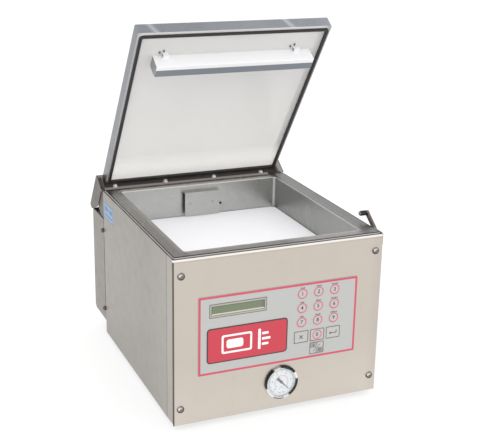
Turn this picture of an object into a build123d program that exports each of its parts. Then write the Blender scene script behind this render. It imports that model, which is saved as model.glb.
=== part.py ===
from build123d import *
import os
from math import cos, radians, sin

# Table-top chamber vacuum packing machine, lid open.
# Millimetres, +Z up, +Y towards the back, origin in the middle of the base
# pan's pressed underside. The rubber feet reach below z = 0.

os.makedirs("parts", exist_ok=True)

# ------------------------------------------------------------ body envelope
BODY_W = 430.0
BODY_D = 457.0
BODY_H = 335.0
FRONT = -BODY_D / 2
REAR = BODY_D / 2
SIDE = BODY_W / 2
SHEET = 1.5    # sheet metal thickness
GAP = 0.05     # clearance between neighbouring pieces
BASE_Z = 2.0   # bottom of the pan's rim and of the side and rear sheets
PAN_FLOOR_Z = 4.0

# Front face plane: local x is X, local y is Z, its normal points out (-Y).
FACE = Plane.XZ.offset(BODY_D / 2)


def fy(depth):
    """Distance behind the front face, as a y coordinate."""
    return FRONT + depth


def from_front(*points):
    """(distance behind the front face, z) points as (y, z) points."""
    return [(fy(depth), z) for depth, z in points]


def pair(x, y):
    """A point and its mirror image, the one at -x first."""
    return (-x, y), (x, y)


def at_depth(depth):
    """Plane parallel to the front face, behind it; its normal points to the front."""
    return FACE.offset(-depth)


def at_height(z):
    """Horizontal plane, normal up."""
    return Plane.XY.offset(z)


def at_x(x):
    """Plane across the machine: local x is Y, local y is Z, normal +X."""
    return Plane.YZ.offset(x)


def save(builder, name):
    """Label a piece and write its STEP file."""
    builder.part.label = name
    export_step(builder.part, f"parts/{name}.step")


# ------------------------------------------------------------ shared places
FOOT_SPACING = (340, 367)
PANEL_SCREWS = (*pair(199.5, 300), *pair(201.0, 33.5))  # x, z
COVER_SCREWS = from_front((465.0, 241.0), (465.0, 56.0))
LATCH_Y, LATCH_Z = fy(30.0), 317.0
GRIP_Y, GRIP_Z = fy(78.0), 351.5
GAUGE_X, GAUGE_Z = 5.5, 54.0
DISPLAY_CX, DISPLAY_CZ = -87.45, 223.75
INLET_X, INLET_Z = -150, 80
CH_FLOOR = 215.0
SPIGOT_R = 6.8
DUCT_HOSE_Y = fy(441.8)

# ------------------------------------------------------------ lid and hinge
LID_W = 406.0
LID_L = 455.0
LID_T = 24.0
LID_OPEN = 55.0           # degrees
PIVOT_Y = fy(469.5)
PIVOT_Z = 315.1
LID_CLOSED_Y = fy(469.0)  # rear underside edge with the lid closed
LID_CLOSED_Z = 339.2
SHAFT_R = 6.0
BOLT_X = tuple(-180.0 + 116.0 * i for i in range(4))
BOLT_S = 5.5              # from the lid's rear edge
BOLT_HOLE_R = 3.2

# Position of the closed lid's edge from the pivot. These are also the pivot's
# coordinates in the lid_side planes, because those axes reverse both Y and Z.
PIVOT_S = LID_CLOSED_Y - PIVOT_Y
PIVOT_D = LID_CLOSED_Z - PIVOT_Z
COS_OPEN = cos(radians(LID_OPEN))
SIN_OPEN = sin(radians(LID_OPEN))
LID_Y = PIVOT_Y + PIVOT_S * COS_OPEN + PIVOT_D * SIN_OPEN
LID_Z = PIVOT_Z - PIVOT_S * SIN_OPEN + PIVOT_D * COS_OPEN

# The lid is drawn in its own plane. Its origin is the lid's rear underside
# edge, local x is X, local y runs from the hinge to the free edge, and the
# normal points out of the underside.
LID_NORMAL = (0, -SIN_OPEN, -COS_OPEN)
LID = Plane(origin=(0, LID_Y, LID_Z), x_dir=(1, 0, 0), z_dir=LID_NORMAL)
LID_OUT = Axis((0, 0, 0), LID_NORMAL)
BOLT_CENTRES = [(x, BOLT_S) for x in BOLT_X]


def lid_side(x):
    """Plane across the lid at x: local x along the lid, local y out of its underside."""
    return Plane(origin=(x, LID_Y, LID_Z), x_dir=(0, -COS_OPEN, SIN_OPEN), z_dir=(1, 0, 0))


# ============================================================ casing
PAN_W, PAN_D = 423.6, 450.0
PRESSING_W, PRESSING_D, PRESSING_R = 300, 320, 14
PRESSING_WALL = 2.0

with BuildPart() as base_pan:
    with BuildSketch(at_height(BASE_Z)):
        Rectangle(PAN_W, PAN_D)
    extrude(amount=16.0)
    with BuildSketch(at_height(PAN_FLOOR_Z)):
        Rectangle(PAN_W - 2 * SHEET, PAN_D - 2 * SHEET)
    extrude(amount=15.0, mode=Mode.SUBTRACT)
    # pressed stiffening panel between the feet
    with BuildSketch(Plane.XY):
        RectangleRounded(PRESSING_W, PRESSING_D, PRESSING_R)
    extrude(amount=BASE_Z)
    with BuildSketch(at_height(BASE_Z)):
        RectangleRounded(
            PRESSING_W - 2 * PRESSING_WALL,
            PRESSING_D - 2 * PRESSING_WALL,
            PRESSING_R - PRESSING_WALL,
        )
    extrude(amount=2.5, mode=Mode.SUBTRACT)
    # cooling slots and foot holes
    with BuildSketch(at_height(-1.0)):
        with GridLocations(14, 90, 9, 2):
            SlotOverall(60, 5, rotation=90)
        with GridLocations(*FOOT_SPACING, 2, 2):
            Circle(4.2)
    extrude(amount=8.0, mode=Mode.SUBTRACT)
save(base_pan, "base_pan")

FRONT_H = 331.5
FRONT_CZ = 0.5 + FRONT_H / 2
SIDE_RETURN = 2.6  # depth of the front panel's folded edges
TOP_RETURN = 5.2

with BuildPart() as front_panel:
    with BuildSketch(FACE):
        with Locations((0, FRONT_CZ)):
            Rectangle(BODY_W, FRONT_H)
    extrude(amount=-TOP_RETURN)
    front_edges = front_panel.faces().sort_by(Axis.Y)[0].edges()
    fillet(front_edges.sort_by(Axis.Z)[-1], 3.8)
    fillet(front_panel.faces().sort_by(Axis.Y)[0].edges().filter_by(Axis.Z), 2.2)
    with BuildSketch(at_depth(SHEET)):
        with Locations((0, FRONT_CZ)):
            Rectangle(BODY_W - 2 * SHEET, FRONT_H - 2 * SHEET)
    extrude(amount=-TOP_RETURN, mode=Mode.SUBTRACT)
    # the side returns are shorter than the top one
    with BuildSketch(at_depth(SIDE_RETURN)):
        with Locations(*pair(SIDE, 163.0)):
            Rectangle(12, 328.0)
    extrude(amount=-TOP_RETURN, mode=Mode.SUBTRACT)
    # gauge, display and screw openings
    with BuildSketch(FACE.offset(1.0)):
        with Locations((GAUGE_X, GAUGE_Z)):
            Circle(31.4)
        with Locations((DISPLAY_CX, DISPLAY_CZ)):
            Rectangle(108, 19)
        with Locations(*PANEL_SCREWS):
            Circle(3.3)
        # slot for the keypad's flat cable
        with Locations((140.0, 120.0)):
            SlotOverall(24, 5)
    extrude(amount=-4.0, mode=Mode.SUBTRACT)
save(front_panel, "front_panel")

with BuildPart() as front_panel_screws:
    # washers, domed heads, then shanks
    with BuildSketch(FACE.offset(GAP)):
        with Locations(*PANEL_SCREWS):
            Circle(7.2)
    extrude(amount=1.0)
    with BuildSketch(FACE.offset(1.0)):
        with Locations(*PANEL_SCREWS):
            Circle(6.4)
    extrude(amount=4.2)
    fillet(front_panel_screws.faces().sort_by(Axis.Y)[0:4].edges(), 3.9)
    with BuildSketch(FACE.offset(GAP)):
        with Locations(*PANEL_SCREWS):
            Circle(3.0)
    extrude(amount=-12.0)
save(front_panel_screws, "front_panel_screws")

SIDE_TOP = 333.0
SIDE_START = 6.4   # front edge of the side sheet, behind the front face
SIDE_BEND = 37.0   # where the bend begins, behind the front face
SIDE_TAPER = 1.2   # how far the front edge lies inwards
FLANGE = 20.0      # width of the inward flange


def side_panel(name, side, latch_hole=False):
    """Side sheet, bent slightly inwards over its last stretch to the front.

    side is -1 for the left and 1 for the right.
    """
    edge_x = SIDE - SIDE_TAPER
    with BuildPart() as panel:
        with BuildSketch(at_height(BASE_Z)):
            with BuildLine():
                Polyline(
                    (side * edge_x, fy(SIDE_START)),
                    (side * SIDE, fy(SIDE_BEND)),
                    (side * SIDE, REAR),
                    (side * (SIDE - SHEET), REAR),
                    (side * (SIDE - SHEET), fy(SIDE_BEND)),
                    (side * (edge_x - SHEET), fy(SIDE_START)),
                    close=True,
                )
            make_face()
        extrude(amount=SIDE_TOP - BASE_Z)
        # inward flange behind the front panel, which its screws go into
        with BuildSketch(at_height(18.6)):
            with Locations((side * (edge_x - FLANGE / 2), fy(SIDE_START) + SHEET / 2)):
                Rectangle(FLANGE, SHEET)
        extrude(amount=303.4)
        with BuildSketch(at_depth(SIDE_START - 1)):
            with Locations(*PANEL_SCREWS):
                Circle(3.2)
        extrude(amount=-4.0, mode=Mode.SUBTRACT)
        if latch_hole:
            with BuildSketch(at_x(SIDE - 4)):
                with Locations((LATCH_Y, LATCH_Z)):
                    Circle(3.3)
            extrude(amount=6.0, mode=Mode.SUBTRACT)
    save(panel, name)


side_panel("side_panel_left", -1)
side_panel("side_panel_right", 1, latch_hole=True)

REAR_W, REAR_H = 426.4, 322.4
COVER_FLANGE_D = 18.0  # how far the flanges reach behind the body

with BuildPart() as rear_panel:
    with BuildSketch(at_depth(BODY_D)):
        with Locations((0, BASE_Z + REAR_H / 2)):
            Rectangle(REAR_W, REAR_H)
    extrude(amount=SHEET)
    # flanges that the rear cover is screwed to
    with BuildSketch(at_height(40.0)):
        with Locations(*pair(212.35, REAR + (COVER_FLANGE_D - SHEET) / 2)):
            Rectangle(1.7, COVER_FLANGE_D + SHEET)
    extrude(amount=216.0)
    with BuildSketch(at_x(-SIDE)):
        with Locations(*COVER_SCREWS):
            Circle(2.2)
    extrude(amount=BODY_W, mode=Mode.SUBTRACT)
    # two round openings and a row of vent slots
    with BuildSketch(at_depth(BODY_D + 1)):
        with Locations((90, 120), (-110, 90)):
            Circle(20)
        with Locations((0, 60)):
            with GridLocations(16, 1, 9, 1):
                SlotOverall(50, 6, rotation=90)
    extrude(amount=4.0, mode=Mode.SUBTRACT)
save(rear_panel, "rear_panel")

# Box cover over the electrical and hinge space behind the body.
COVER_FRONT = 457.4       # depths behind the front face
COVER_CUT_FRONT = 457.0
COVER_BACK = 548.0
COVER_Z0, COVER_Z1 = 30.0, 268.0
COVER_BEVEL = 9.0         # sloped lower rear edge
COVER_INNER_BEVEL = 9.6
TOP_RECESS = 6.0          # top sheet below the side walls' upper edge
COVER_INNER_BACK = COVER_BACK - SHEET
COVER_INNER_TOP = COVER_Z1 - TOP_RECESS - SHEET

with BuildPart() as rear_cover:
    with BuildSketch(at_x(-SIDE)):
        with BuildLine():
            Polyline(
                *from_front(
                    (COVER_FRONT, COVER_Z0),
                    (COVER_BACK - COVER_BEVEL, COVER_Z0),
                    (COVER_BACK, COVER_Z0 + COVER_BEVEL),
                    (COVER_BACK, COVER_Z1),
                    (COVER_FRONT, COVER_Z1),
                ),
                close=True,
            )
        make_face()
    extrude(amount=BODY_W)
    fillet(rear_cover.edges().filter_by(Axis.Z).sort_by(Axis.Y)[-2:], 2.0)
    with BuildSketch(at_x(-SIDE + SHEET)):
        with BuildLine():
            Polyline(
                *from_front(
                    (COVER_CUT_FRONT, COVER_Z0 + SHEET),
                    (COVER_BACK - COVER_INNER_BEVEL, COVER_Z0 + SHEET),
                    (COVER_INNER_BACK, COVER_Z0 + COVER_INNER_BEVEL),
                    (COVER_INNER_BACK, COVER_INNER_TOP),
                    (COVER_CUT_FRONT, COVER_INNER_TOP),
                ),
                close=True,
            )
        make_face()
    extrude(amount=BODY_W - 2 * SHEET, mode=Mode.SUBTRACT)
    # recess above the top sheet
    with BuildSketch(at_height(COVER_Z1 - TOP_RECESS)):
        with Locations((0, fy((COVER_CUT_FRONT + COVER_INNER_BACK) / 2))):
            Rectangle(BODY_W - 2 * SHEET, COVER_INNER_BACK - COVER_CUT_FRONT)
    extrude(amount=8.0, mode=Mode.SUBTRACT)
    # louvre slots in the top, vents and inlet cut-out in the back
    with BuildSketch(at_height(COVER_Z1 - 9.0)):
        with Locations((0, fy(515))):
            with GridLocations(18, 1, 18, 1):
                SlotOverall(40, 6, rotation=90)
    extrude(amount=6.0, mode=Mode.SUBTRACT)
    with BuildSketch(at_depth(COVER_BACK + 1)):
        with Locations((60, 190)):
            with GridLocations(15, 52, 12, 2):
                SlotOverall(42, 5, rotation=90)
        with Locations((INLET_X, INLET_Z)):
            Rectangle(27.6, 20.2)
            with GridLocations(40, 1, 2, 1):
                Circle(1.7)
    extrude(amount=4.0, mode=Mode.SUBTRACT)
    # shadow gap to the side sheets, closed at the screw tabs
    for z0, z1 in ((64.0, 231.0), (250.0, 270.0)):
        with BuildSketch(at_x(-SIDE - 1)):
            with Locations((fy(458.2), (z0 + z1) / 2)):
                Rectangle(3.6, z1 - z0)
        extrude(amount=BODY_W + 2, mode=Mode.SUBTRACT)
    with BuildSketch(at_x(-SIDE - 3)):
        with Locations(*COVER_SCREWS):
            Circle(2.3)
    extrude(amount=BODY_W + 6, mode=Mode.SUBTRACT)
save(rear_cover, "rear_cover")

with BuildPart() as rear_cover_screws:
    with BuildSketch(at_x(-SIDE - GAP)):
        with Locations(*COVER_SCREWS):
            Circle(5.2)
    extrude(amount=-5.0)
    fillet(rear_cover_screws.faces().sort_by(Axis.X)[0:2].edges(), 4.0)
    with BuildSketch(at_x(-SIDE - 0.1)):
        with Locations(*COVER_SCREWS):
            Circle(2.0)
    extrude(amount=8.0)
    mirror(about=Plane.YZ)
save(rear_cover_screws, "rear_cover_screws")

# Bonded rubber feet, each with its own moulded-in stud and nut boss.
FOOT_STUD_R = 4.0

with BuildPart() as rubber_feet:
    with BuildSketch(at_height(BASE_Z)):
        with GridLocations(*FOOT_SPACING, 2, 2):
            Circle(17.5)
    extrude(amount=-14.0, taper=10)
    with BuildSketch(at_height(BASE_Z)):
        with GridLocations(*FOOT_SPACING, 2, 2):
            Circle(FOOT_STUD_R)
    extrude(amount=PAN_FLOOR_Z - BASE_Z)
    with BuildSketch(at_height(PAN_FLOOR_Z + GAP)):
        with GridLocations(*FOOT_SPACING, 2, 2):
            RegularPolygon(7.0, 6)
    extrude(amount=5.0)
    # joins the stud to the nut across the clearance
    with BuildSketch(at_height(PAN_FLOOR_Z - 0.1)):
        with GridLocations(*FOOT_SPACING, 2, 2):
            Circle(FOOT_STUD_R)
    extrude(amount=0.3)
save(rubber_feet, "rubber_feet")


# ============================================================ vacuum chamber
CH_W = 364.6
CH_Y0, CH_Y1 = 34.0, 433.0       # mouth, behind the front face
RIM_W = 424.0
RIM_Y0, RIM_Y1 = 6.0, 456.0      # flange around the mouth
RIM_H = 10.0
TUB_T = 1.8
TUB_R = 7.0
CH_D = CH_Y1 - CH_Y0
CH_CENTRE = (0, fy((CH_Y0 + CH_Y1) / 2))
RIM_D = RIM_Y1 - RIM_Y0
RIM_CENTRE = (0, fy((RIM_Y0 + RIM_Y1) / 2))
DUCT_Z = 226.0

with BuildPart() as chamber_tub:
    with BuildSketch(at_height(BODY_H)):
        with Locations(RIM_CENTRE):
            RectangleRounded(RIM_W, RIM_D, 4)
    extrude(amount=-RIM_H)
    with BuildSketch(at_height(BODY_H - TUB_T)):
        with Locations(RIM_CENTRE):
            RectangleRounded(RIM_W - 2 * TUB_T, RIM_D - 2 * TUB_T, 2)
    extrude(amount=-RIM_H, mode=Mode.SUBTRACT)
    with BuildSketch(at_height(BODY_H - TUB_T / 2)):
        with Locations(CH_CENTRE):
            RectangleRounded(CH_W + 2 * TUB_T, CH_D + 2 * TUB_T, TUB_R + TUB_T)
    extrude(amount=-(BODY_H - TUB_T / 2 - CH_FLOOR + TUB_T))
    # suction duct welded on the rear wall, with a hose spigot underneath
    with BuildSketch(at_height(DUCT_Z)):
        with Locations((0, fy(441.5))):
            Rectangle(60, 15)
    extrude(amount=86.0)
    with BuildSketch(at_height(DUCT_Z + 1.0)):
        with Locations((0, DUCT_HOSE_Y)):
            Circle(SPIGOT_R)
    extrude(amount=-24.0)
    # hollow out the chamber, the duct and the spigot
    with BuildSketch(at_height(BODY_H + 1)):
        with Locations(CH_CENTRE):
            RectangleRounded(CH_W, CH_D, TUB_R)
    extrude(amount=-(BODY_H + 1 - CH_FLOOR), mode=Mode.SUBTRACT)
    with BuildSketch(at_height(DUCT_Z + SHEET)):
        with Locations((0, fy(441.6))):
            Rectangle(57, 12.0)
    extrude(amount=83.0, mode=Mode.SUBTRACT)
    with BuildSketch(at_height(DUCT_Z + 2.0)):
        with Locations((0, DUCT_HOSE_Y)):
            Circle(5.2)
    extrude(amount=-26.0, mode=Mode.SUBTRACT)
    # suction port and pressure-sensor port in the rear wall
    with BuildSketch(at_depth(CH_Y1 - 1.0)):
        with Locations((0, 293.0)):
            Circle(10)
        with Locations((48.0, 286.0)):
            Circle(3.0)
    extrude(amount=-5.0, mode=Mode.SUBTRACT)
    # rolled outer edge; the inner part of the flange slopes towards the mouth
    top_edges = chamber_tub.edges().filter_by_position(Axis.Z, BODY_H - 0.01, BODY_H + 0.01)
    mouth_edges = top_edges.filter_by_position(
        Axis.X, -CH_W / 2 - 0.1, CH_W / 2 + 0.1
    ).filter_by_position(Axis.Y, fy(CH_Y0 - 0.1), fy(CH_Y1 + 0.1))
    chamfer(
        mouth_edges, length=9.0, length2=1.2,
        reference=chamber_tub.faces().filter_by(Plane.XY).sort_by(Axis.Z)[-1],
    )
    fillet(chamber_tub.faces().filter_by(Plane.XY).sort_by(Axis.Z)[-1].outer_wire().edges(), 1.8)
save(chamber_tub, "chamber_tub")

# Three loose filler plates that raise the working floor, notched in front
# around the lift cylinders.
FILLER_T = 16.4
FILLER_D = 319.0
FILLER_Y0 = 112.0

with BuildPart() as filler_plates:
    for level in range(3):
        with BuildSketch(at_height(CH_FLOOR + 0.1 + level * (FILLER_T + 0.1))):
            with Locations((0, fy(FILLER_Y0 + FILLER_D / 2))):
                RectangleRounded(361.0, FILLER_D, 12.5)
            with Locations(*pair(60, fy(FILLER_Y0))):
                Circle(13, mode=Mode.SUBTRACT)
        extrude(amount=FILLER_T)
    chamfer(filler_plates.faces().sort_by(Axis.Z)[-1].edges(), 1.0)
save(filler_plates, "filler_plates")

# Guard plate that stands off the rear wall in front of the suction port.
BAFFLE_X, BAFFLE_Z = 0.5, 293.3
BAFFLE_W = 81.0
BAFFLE_POSTS = [(BAFFLE_X + offset, BAFFLE_Z) for offset in (-26.5, 26.5)]

with BuildPart() as suction_baffle:
    with BuildSketch(at_depth(423.0)):
        with Locations((BAFFLE_X, BAFFLE_Z)):
            RectangleRounded(BAFFLE_W, 53.5, 2.0)
    extrude(amount=SHEET)
    # top flange
    with BuildSketch(at_height(318.4)):
        with Locations((BAFFLE_X, fy(427.2))):
            Rectangle(BAFFLE_W, 11.4)
    extrude(amount=1.6)
    # stand-off posts behind and screw heads in front
    with BuildSketch(at_depth(422.8)):
        with Locations(*BAFFLE_POSTS):
            Circle(4.0)
    extrude(amount=-10.1)
    with BuildSketch(at_depth(421.6)):
        with Locations(*BAFFLE_POSTS):
            Circle(3.2)
    extrude(amount=1.6)
save(suction_baffle, "suction_baffle")


# ============================================================ seal bar
BAR_X = 4.0            # centre of the seal bar and the counter bar
SEAL_BAR_L = 330.0
ELEMENT_L = 326.0
LIFT_CENTRES = pair(120.0, fy(89.0))
LIFT_ROD_R = 5.0
LIFT_PISTON_R = 13.95

with BuildPart() as seal_lift_cylinders:
    with BuildSketch(at_height(CH_FLOOR + 0.1)):
        with Locations(*LIFT_CENTRES):
            Circle(18.0)
    extrude(amount=43.0)
    with BuildSketch(at_height(CH_FLOOR + 4.0)):
        with Locations(*LIFT_CENTRES):
            Circle(LIFT_PISTON_R + GAP)
    extrude(amount=35.0, mode=Mode.SUBTRACT)
    with BuildSketch(at_height(CH_FLOOR + 30.0)):
        with Locations(*LIFT_CENTRES):
            Circle(LIFT_ROD_R + GAP)
    extrude(amount=20.0, mode=Mode.SUBTRACT)
save(seal_lift_cylinders, "seal_lift_cylinders")

with BuildPart() as seal_bar_pistons:
    with BuildSketch(at_height(222.0)):
        with Locations(*LIFT_CENTRES):
            Circle(LIFT_PISTON_R)
    extrude(amount=12.0)
    with BuildSketch(at_height(233.0)):
        with Locations(*LIFT_CENTRES):
            Circle(LIFT_ROD_R)
    extrude(amount=39.0)
save(seal_bar_pistons, "seal_bar_pistons")

# distance behind the front face, z
SEAL_BAR_PROFILE = from_front(
    (77.0, 272.0), (101.0, 272.0), (101.0, 292.0),
    (98.0, 298.0), (80.0, 298.0), (77.0, 292.0),
)

with BuildPart() as seal_bar:
    with BuildSketch(at_x(BAR_X - SEAL_BAR_L / 2)):
        with BuildLine():
            Polyline(*SEAL_BAR_PROFILE, close=True)
        make_face()
    extrude(amount=SEAL_BAR_L)
    chamfer(seal_bar.faces().sort_by(Axis.X)[0].edges(), 1.0)
    chamfer(seal_bar.faces().sort_by(Axis.X)[-1].edges(), 1.0)
save(seal_bar, "seal_bar")

# Heating band under its non-stick cover tape, crowned across its width.
ELEMENT_Y0, ELEMENT_Y1 = fy(82.0), fy(96.0)
ELEMENT_Z0 = 298.02
ELEMENT_EDGE_Z = 299.2
ELEMENT_CROWN_Z = 300.5

with BuildPart() as seal_bar_element:
    with BuildSketch(at_x(BAR_X - ELEMENT_L / 2)):
        with BuildLine():
            Line((ELEMENT_Y0, ELEMENT_Z0), (ELEMENT_Y1, ELEMENT_Z0))
            Line((ELEMENT_Y1, ELEMENT_Z0), (ELEMENT_Y1, ELEMENT_EDGE_Z))
            ThreePointArc(
                (ELEMENT_Y1, ELEMENT_EDGE_Z),
                ((ELEMENT_Y0 + ELEMENT_Y1) / 2, ELEMENT_CROWN_Z),
                (ELEMENT_Y0, ELEMENT_EDGE_Z),
            )
            Line((ELEMENT_Y0, ELEMENT_EDGE_Z), (ELEMENT_Y0, ELEMENT_Z0))
        make_face()
    extrude(amount=ELEMENT_L)
save(seal_bar_element, "seal_bar_element")


# ============================================================ front controls
OVERLAY_GAP = 0.02  # between the front face and the parts stuck on it
KEY_COLS = tuple(44.6 + 34.3 * i for i in range(3))
KEY_ROWS = tuple(232.5 - 29.4 * i for i in range(3))
KEY_R = 10.0
KEY_W, KEY_H = 30.4, 25.0
KEY_LOW_Z = 143.0
KEY_POWER_Z = 115.4
DISPLAY_W, DISPLAY_H = 115.2, 27.6
ROUND_KEYS = [(x, z) for z in KEY_ROWS for x in KEY_COLS]
WIDE_KEYS = {
    "key_0": (KEY_COLS[1], KEY_LOW_Z),
    "key_cancel": (KEY_COLS[0], KEY_LOW_Z),
    "key_confirm": (KEY_COLS[2], KEY_LOW_Z),
    "key_power": (KEY_COLS[1], KEY_POWER_Z),
}

with BuildPart() as control_overlay:
    with BuildSketch(FACE.offset(OVERLAY_GAP)):
        with Locations((-2.25, 174.5)):
            RectangleRounded(328.5, 157.6, 2.0)
        with Locations(*ROUND_KEYS):
            Circle(KEY_R + 0.3, mode=Mode.SUBTRACT)
        with Locations(*WIDE_KEYS.values()):
            RectangleRounded(KEY_W + 0.6, KEY_H + 0.6, 1.6, mode=Mode.SUBTRACT)
        with Locations((DISPLAY_CX, DISPLAY_CZ)):
            Rectangle(DISPLAY_W + 0.4, DISPLAY_H + 0.4, mode=Mode.SUBTRACT)
    extrude(amount=1.2)
save(control_overlay, "control_overlay")

with BuildPart() as display_window:
    with BuildSketch(FACE.offset(OVERLAY_GAP)):
        with Locations((DISPLAY_CX, DISPLAY_CZ)):
            Rectangle(DISPLAY_W, DISPLAY_H)
    extrude(amount=1.5)
    # shallow recess in the window's front
    with BuildSketch(FACE.offset(1.0)):
        with Locations((DISPLAY_CX, DISPLAY_CZ)):
            Rectangle(106.0, 17.4)
    extrude(amount=1.5, mode=Mode.SUBTRACT)
    # the module behind, through the panel's cut-out
    with BuildSketch(FACE.offset(OVERLAY_GAP)):
        with Locations((DISPLAY_CX, DISPLAY_CZ)):
            Rectangle(107.0, 18.0)
    extrude(amount=-9.0)
save(display_window, "display_window")


def key_cap(name, centre, is_round):
    """Key cap at an (x, z) centre, softened around its front face."""
    with BuildPart() as cap:
        with BuildSketch(FACE.offset(0.6)):
            with Locations(centre):
                if is_round:
                    Circle(KEY_R)
                else:
                    RectangleRounded(KEY_W, KEY_H, 1.3)
        extrude(amount=0.9)
        fillet(cap.faces().sort_by(Axis.Y)[0].edges(), 0.35)
    save(cap, name)


for digit, key_centre in enumerate(ROUND_KEYS, start=1):
    key_cap(f"key_{digit}", key_centre, is_round=True)
for key_name, key_centre in WIDE_KEYS.items():
    key_cap(key_name, key_centre, is_round=False)

# Dial gauge: case behind the panel, bezel in front of it.
GAUGE_AXIS = Axis((GAUGE_X, FRONT, GAUGE_Z), (0, 1, 0))
BEZEL_R = 34.6
DIAL_R = 29.9


def gauge_points(*points):
    """(radius, distance behind the front face) points as (x, y) points."""
    return [(GAUGE_X + radius, fy(depth)) for radius, depth in points]


with BuildPart() as gauge_case:
    with BuildSketch(at_height(GAUGE_Z)):
        with BuildLine():
            Polyline(
                *gauge_points(
                    (0, 28.0), (31.0, 28.0), (31.0, -0.3),
                    (29.6, -0.3), (29.6, 26.6), (0, 26.6),
                ),
                close=True,
            )
        make_face()
    revolve(axis=GAUGE_AXIS)
    # threaded connection at the back
    with BuildSketch(at_depth(27.5)):
        with Locations((GAUGE_X, GAUGE_Z)):
            RegularPolygon(9.0, 6)
    extrude(amount=-7.5)
    with BuildSketch(at_depth(34.5)):
        with Locations((GAUGE_X, GAUGE_Z)):
            Circle(4.8)
    extrude(amount=-11.5)
save(gauge_case, "gauge_case")

with BuildPart() as gauge_bezel:
    with BuildSketch(at_height(GAUGE_Z)):
        with BuildLine():
            Polyline(*gauge_points(
                (31.1, -0.05), (BEZEL_R - 1.0, -0.05), (BEZEL_R, -1.0), (BEZEL_R, -3.4),
            ))
            ThreePointArc(*gauge_points(
                (BEZEL_R, -3.4), (BEZEL_R - 0.9, -5.5), (BEZEL_R - 2.6, -6.4),
            ))
            Polyline(*gauge_points(
                (BEZEL_R - 2.6, -6.4), (29.2, -5.4), (29.2, -5.1), (30.2, -5.1),
                (30.2, -1.0), (31.1, -1.0), (31.1, -0.05),
            ))
        make_face()
    revolve(axis=GAUGE_AXIS)
save(gauge_bezel, "gauge_bezel")

with BuildPart() as gauge_dial:
    with BuildSketch(FACE.offset(1.1)):
        with Locations((GAUGE_X, GAUGE_Z)):
            Circle(DIAL_R)
            Circle(1.0, mode=Mode.SUBTRACT)
    extrude(amount=0.8)
save(gauge_dial, "gauge_dial")

with BuildPart() as gauge_lens:
    with BuildSketch(FACE.offset(3.8)):
        with Locations((GAUGE_X, GAUGE_Z)):
            Circle(DIAL_R)
    extrude(amount=1.2)
save(gauge_lens, "gauge_lens")

# Pointer at zero: its tip is at the lower right of the dial.
NEEDLE_DEG = -47.0
NEEDLE = Plane(
    origin=(GAUGE_X, fy(-2.3), GAUGE_Z),
    x_dir=(cos(radians(NEEDLE_DEG)), 0, sin(radians(NEEDLE_DEG))),
    z_dir=(0, -1, 0),
)
# along the needle from its pivot, across it
NEEDLE_OUTLINE = (
    (22.5, 0.3), (22.5, -0.3), (2.0, -1.2), (0, -2.0), (-7.0, -2.2), (-12.5, -3.0),
    (-12.5, 3.0), (-7.0, 2.2), (0, 2.0), (2.0, 1.2),
)

with BuildPart() as gauge_needle:
    with BuildSketch(NEEDLE):
        with BuildLine():
            Polyline(*NEEDLE_OUTLINE, close=True)
        make_face()
        Circle(2.8)
    extrude(amount=0.6)
    # hub cap in front and spindle behind
    with BuildSketch(NEEDLE):
        Circle(2.2)
    extrude(amount=1.2)
    with BuildSketch(NEEDLE):
        Circle(0.9)
    extrude(amount=-12.0)
save(gauge_needle, "gauge_needle")


# ============================================================ lid
# S values run from the lid's rear edge to its free edge.
WINDOW_S0, WINDOW_S1 = 18.6, LID_L - 6.0  # opening in the frame's underside
WINDOW_W = LID_W - 8.2
WINDOW_R = 8.0
LID_SEAT = SHEET + 0.1  # how far gasket and counter bar reach into the frame

with BuildPart() as lid_frame:
    with BuildSketch(LID):
        with Locations((0, LID_L / 2)):
            RectangleRounded(LID_W, LID_L, 2.5)
    extrude(amount=-LID_T)
    with BuildSketch(LID.offset(-SHEET)):
        with Locations((0, LID_L / 2)):
            RectangleRounded(LID_W - 2 * SHEET, LID_L - 2 * SHEET, 1.0)
    extrude(amount=-(LID_T - 2 * SHEET), mode=Mode.SUBTRACT)
    # openings in the underside and the top
    with BuildSketch(LID.offset(1.0)):
        with Locations((0, (WINDOW_S0 + WINDOW_S1) / 2)):
            RectangleRounded(WINDOW_W, WINDOW_S1 - WINDOW_S0, WINDOW_R)
    extrude(amount=-4.0, mode=Mode.SUBTRACT)
    with BuildSketch(LID.offset(-LID_T - 1.0)):
        with Locations((0, LID_L / 2)):
            RectangleRounded(LID_W - 14.0, LID_L - 14.0, 3.0)
    extrude(amount=4.0, mode=Mode.SUBTRACT)
    with BuildSketch(LID.offset(2.0)):
        with Locations(*BOLT_CENTRES):
            Circle(BOLT_HOLE_R)
    extrude(amount=-LID_T - 4.0, mode=Mode.SUBTRACT)
    # welded keeper tab for the latch, on the right-hand edge
    with BuildSketch(LID.offset(-LID_T)):
        with Locations((LID_W / 2 + 2.0, 411.0)):
            Rectangle(5.0, 15.0)
    extrude(amount=2.0)
save(lid_frame, "lid_frame")

PLATE_GAP = 0.15  # between the plate and the frame's upper and lower sheets

with BuildPart() as lid_plate:
    with BuildSketch(LID.offset(-SHEET - PLATE_GAP)):
        with Locations((0, LID_L / 2)):
            Rectangle(LID_W - 2 * SHEET - 0.8, LID_L - 2 * SHEET - 0.8)
    extrude(amount=-(LID_T - 2 * SHEET - 2 * PLATE_GAP))
    with BuildSketch(LID.offset(2.0)):
        with Locations(*BOLT_CENTRES):
            Circle(BOLT_HOLE_R)
    extrude(amount=-LID_T - 4.0, mode=Mode.SUBTRACT)
save(lid_plate, "lid_plate")

GASKET_GAP = 0.3
GASKET_W = 5.8
GASKET_PROUD = 4.0
GASKET_OUTER_W = WINDOW_W - 2 * GASKET_GAP
GASKET_OUTER_L = WINDOW_S1 - WINDOW_S0 - 2 * GASKET_GAP

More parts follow.
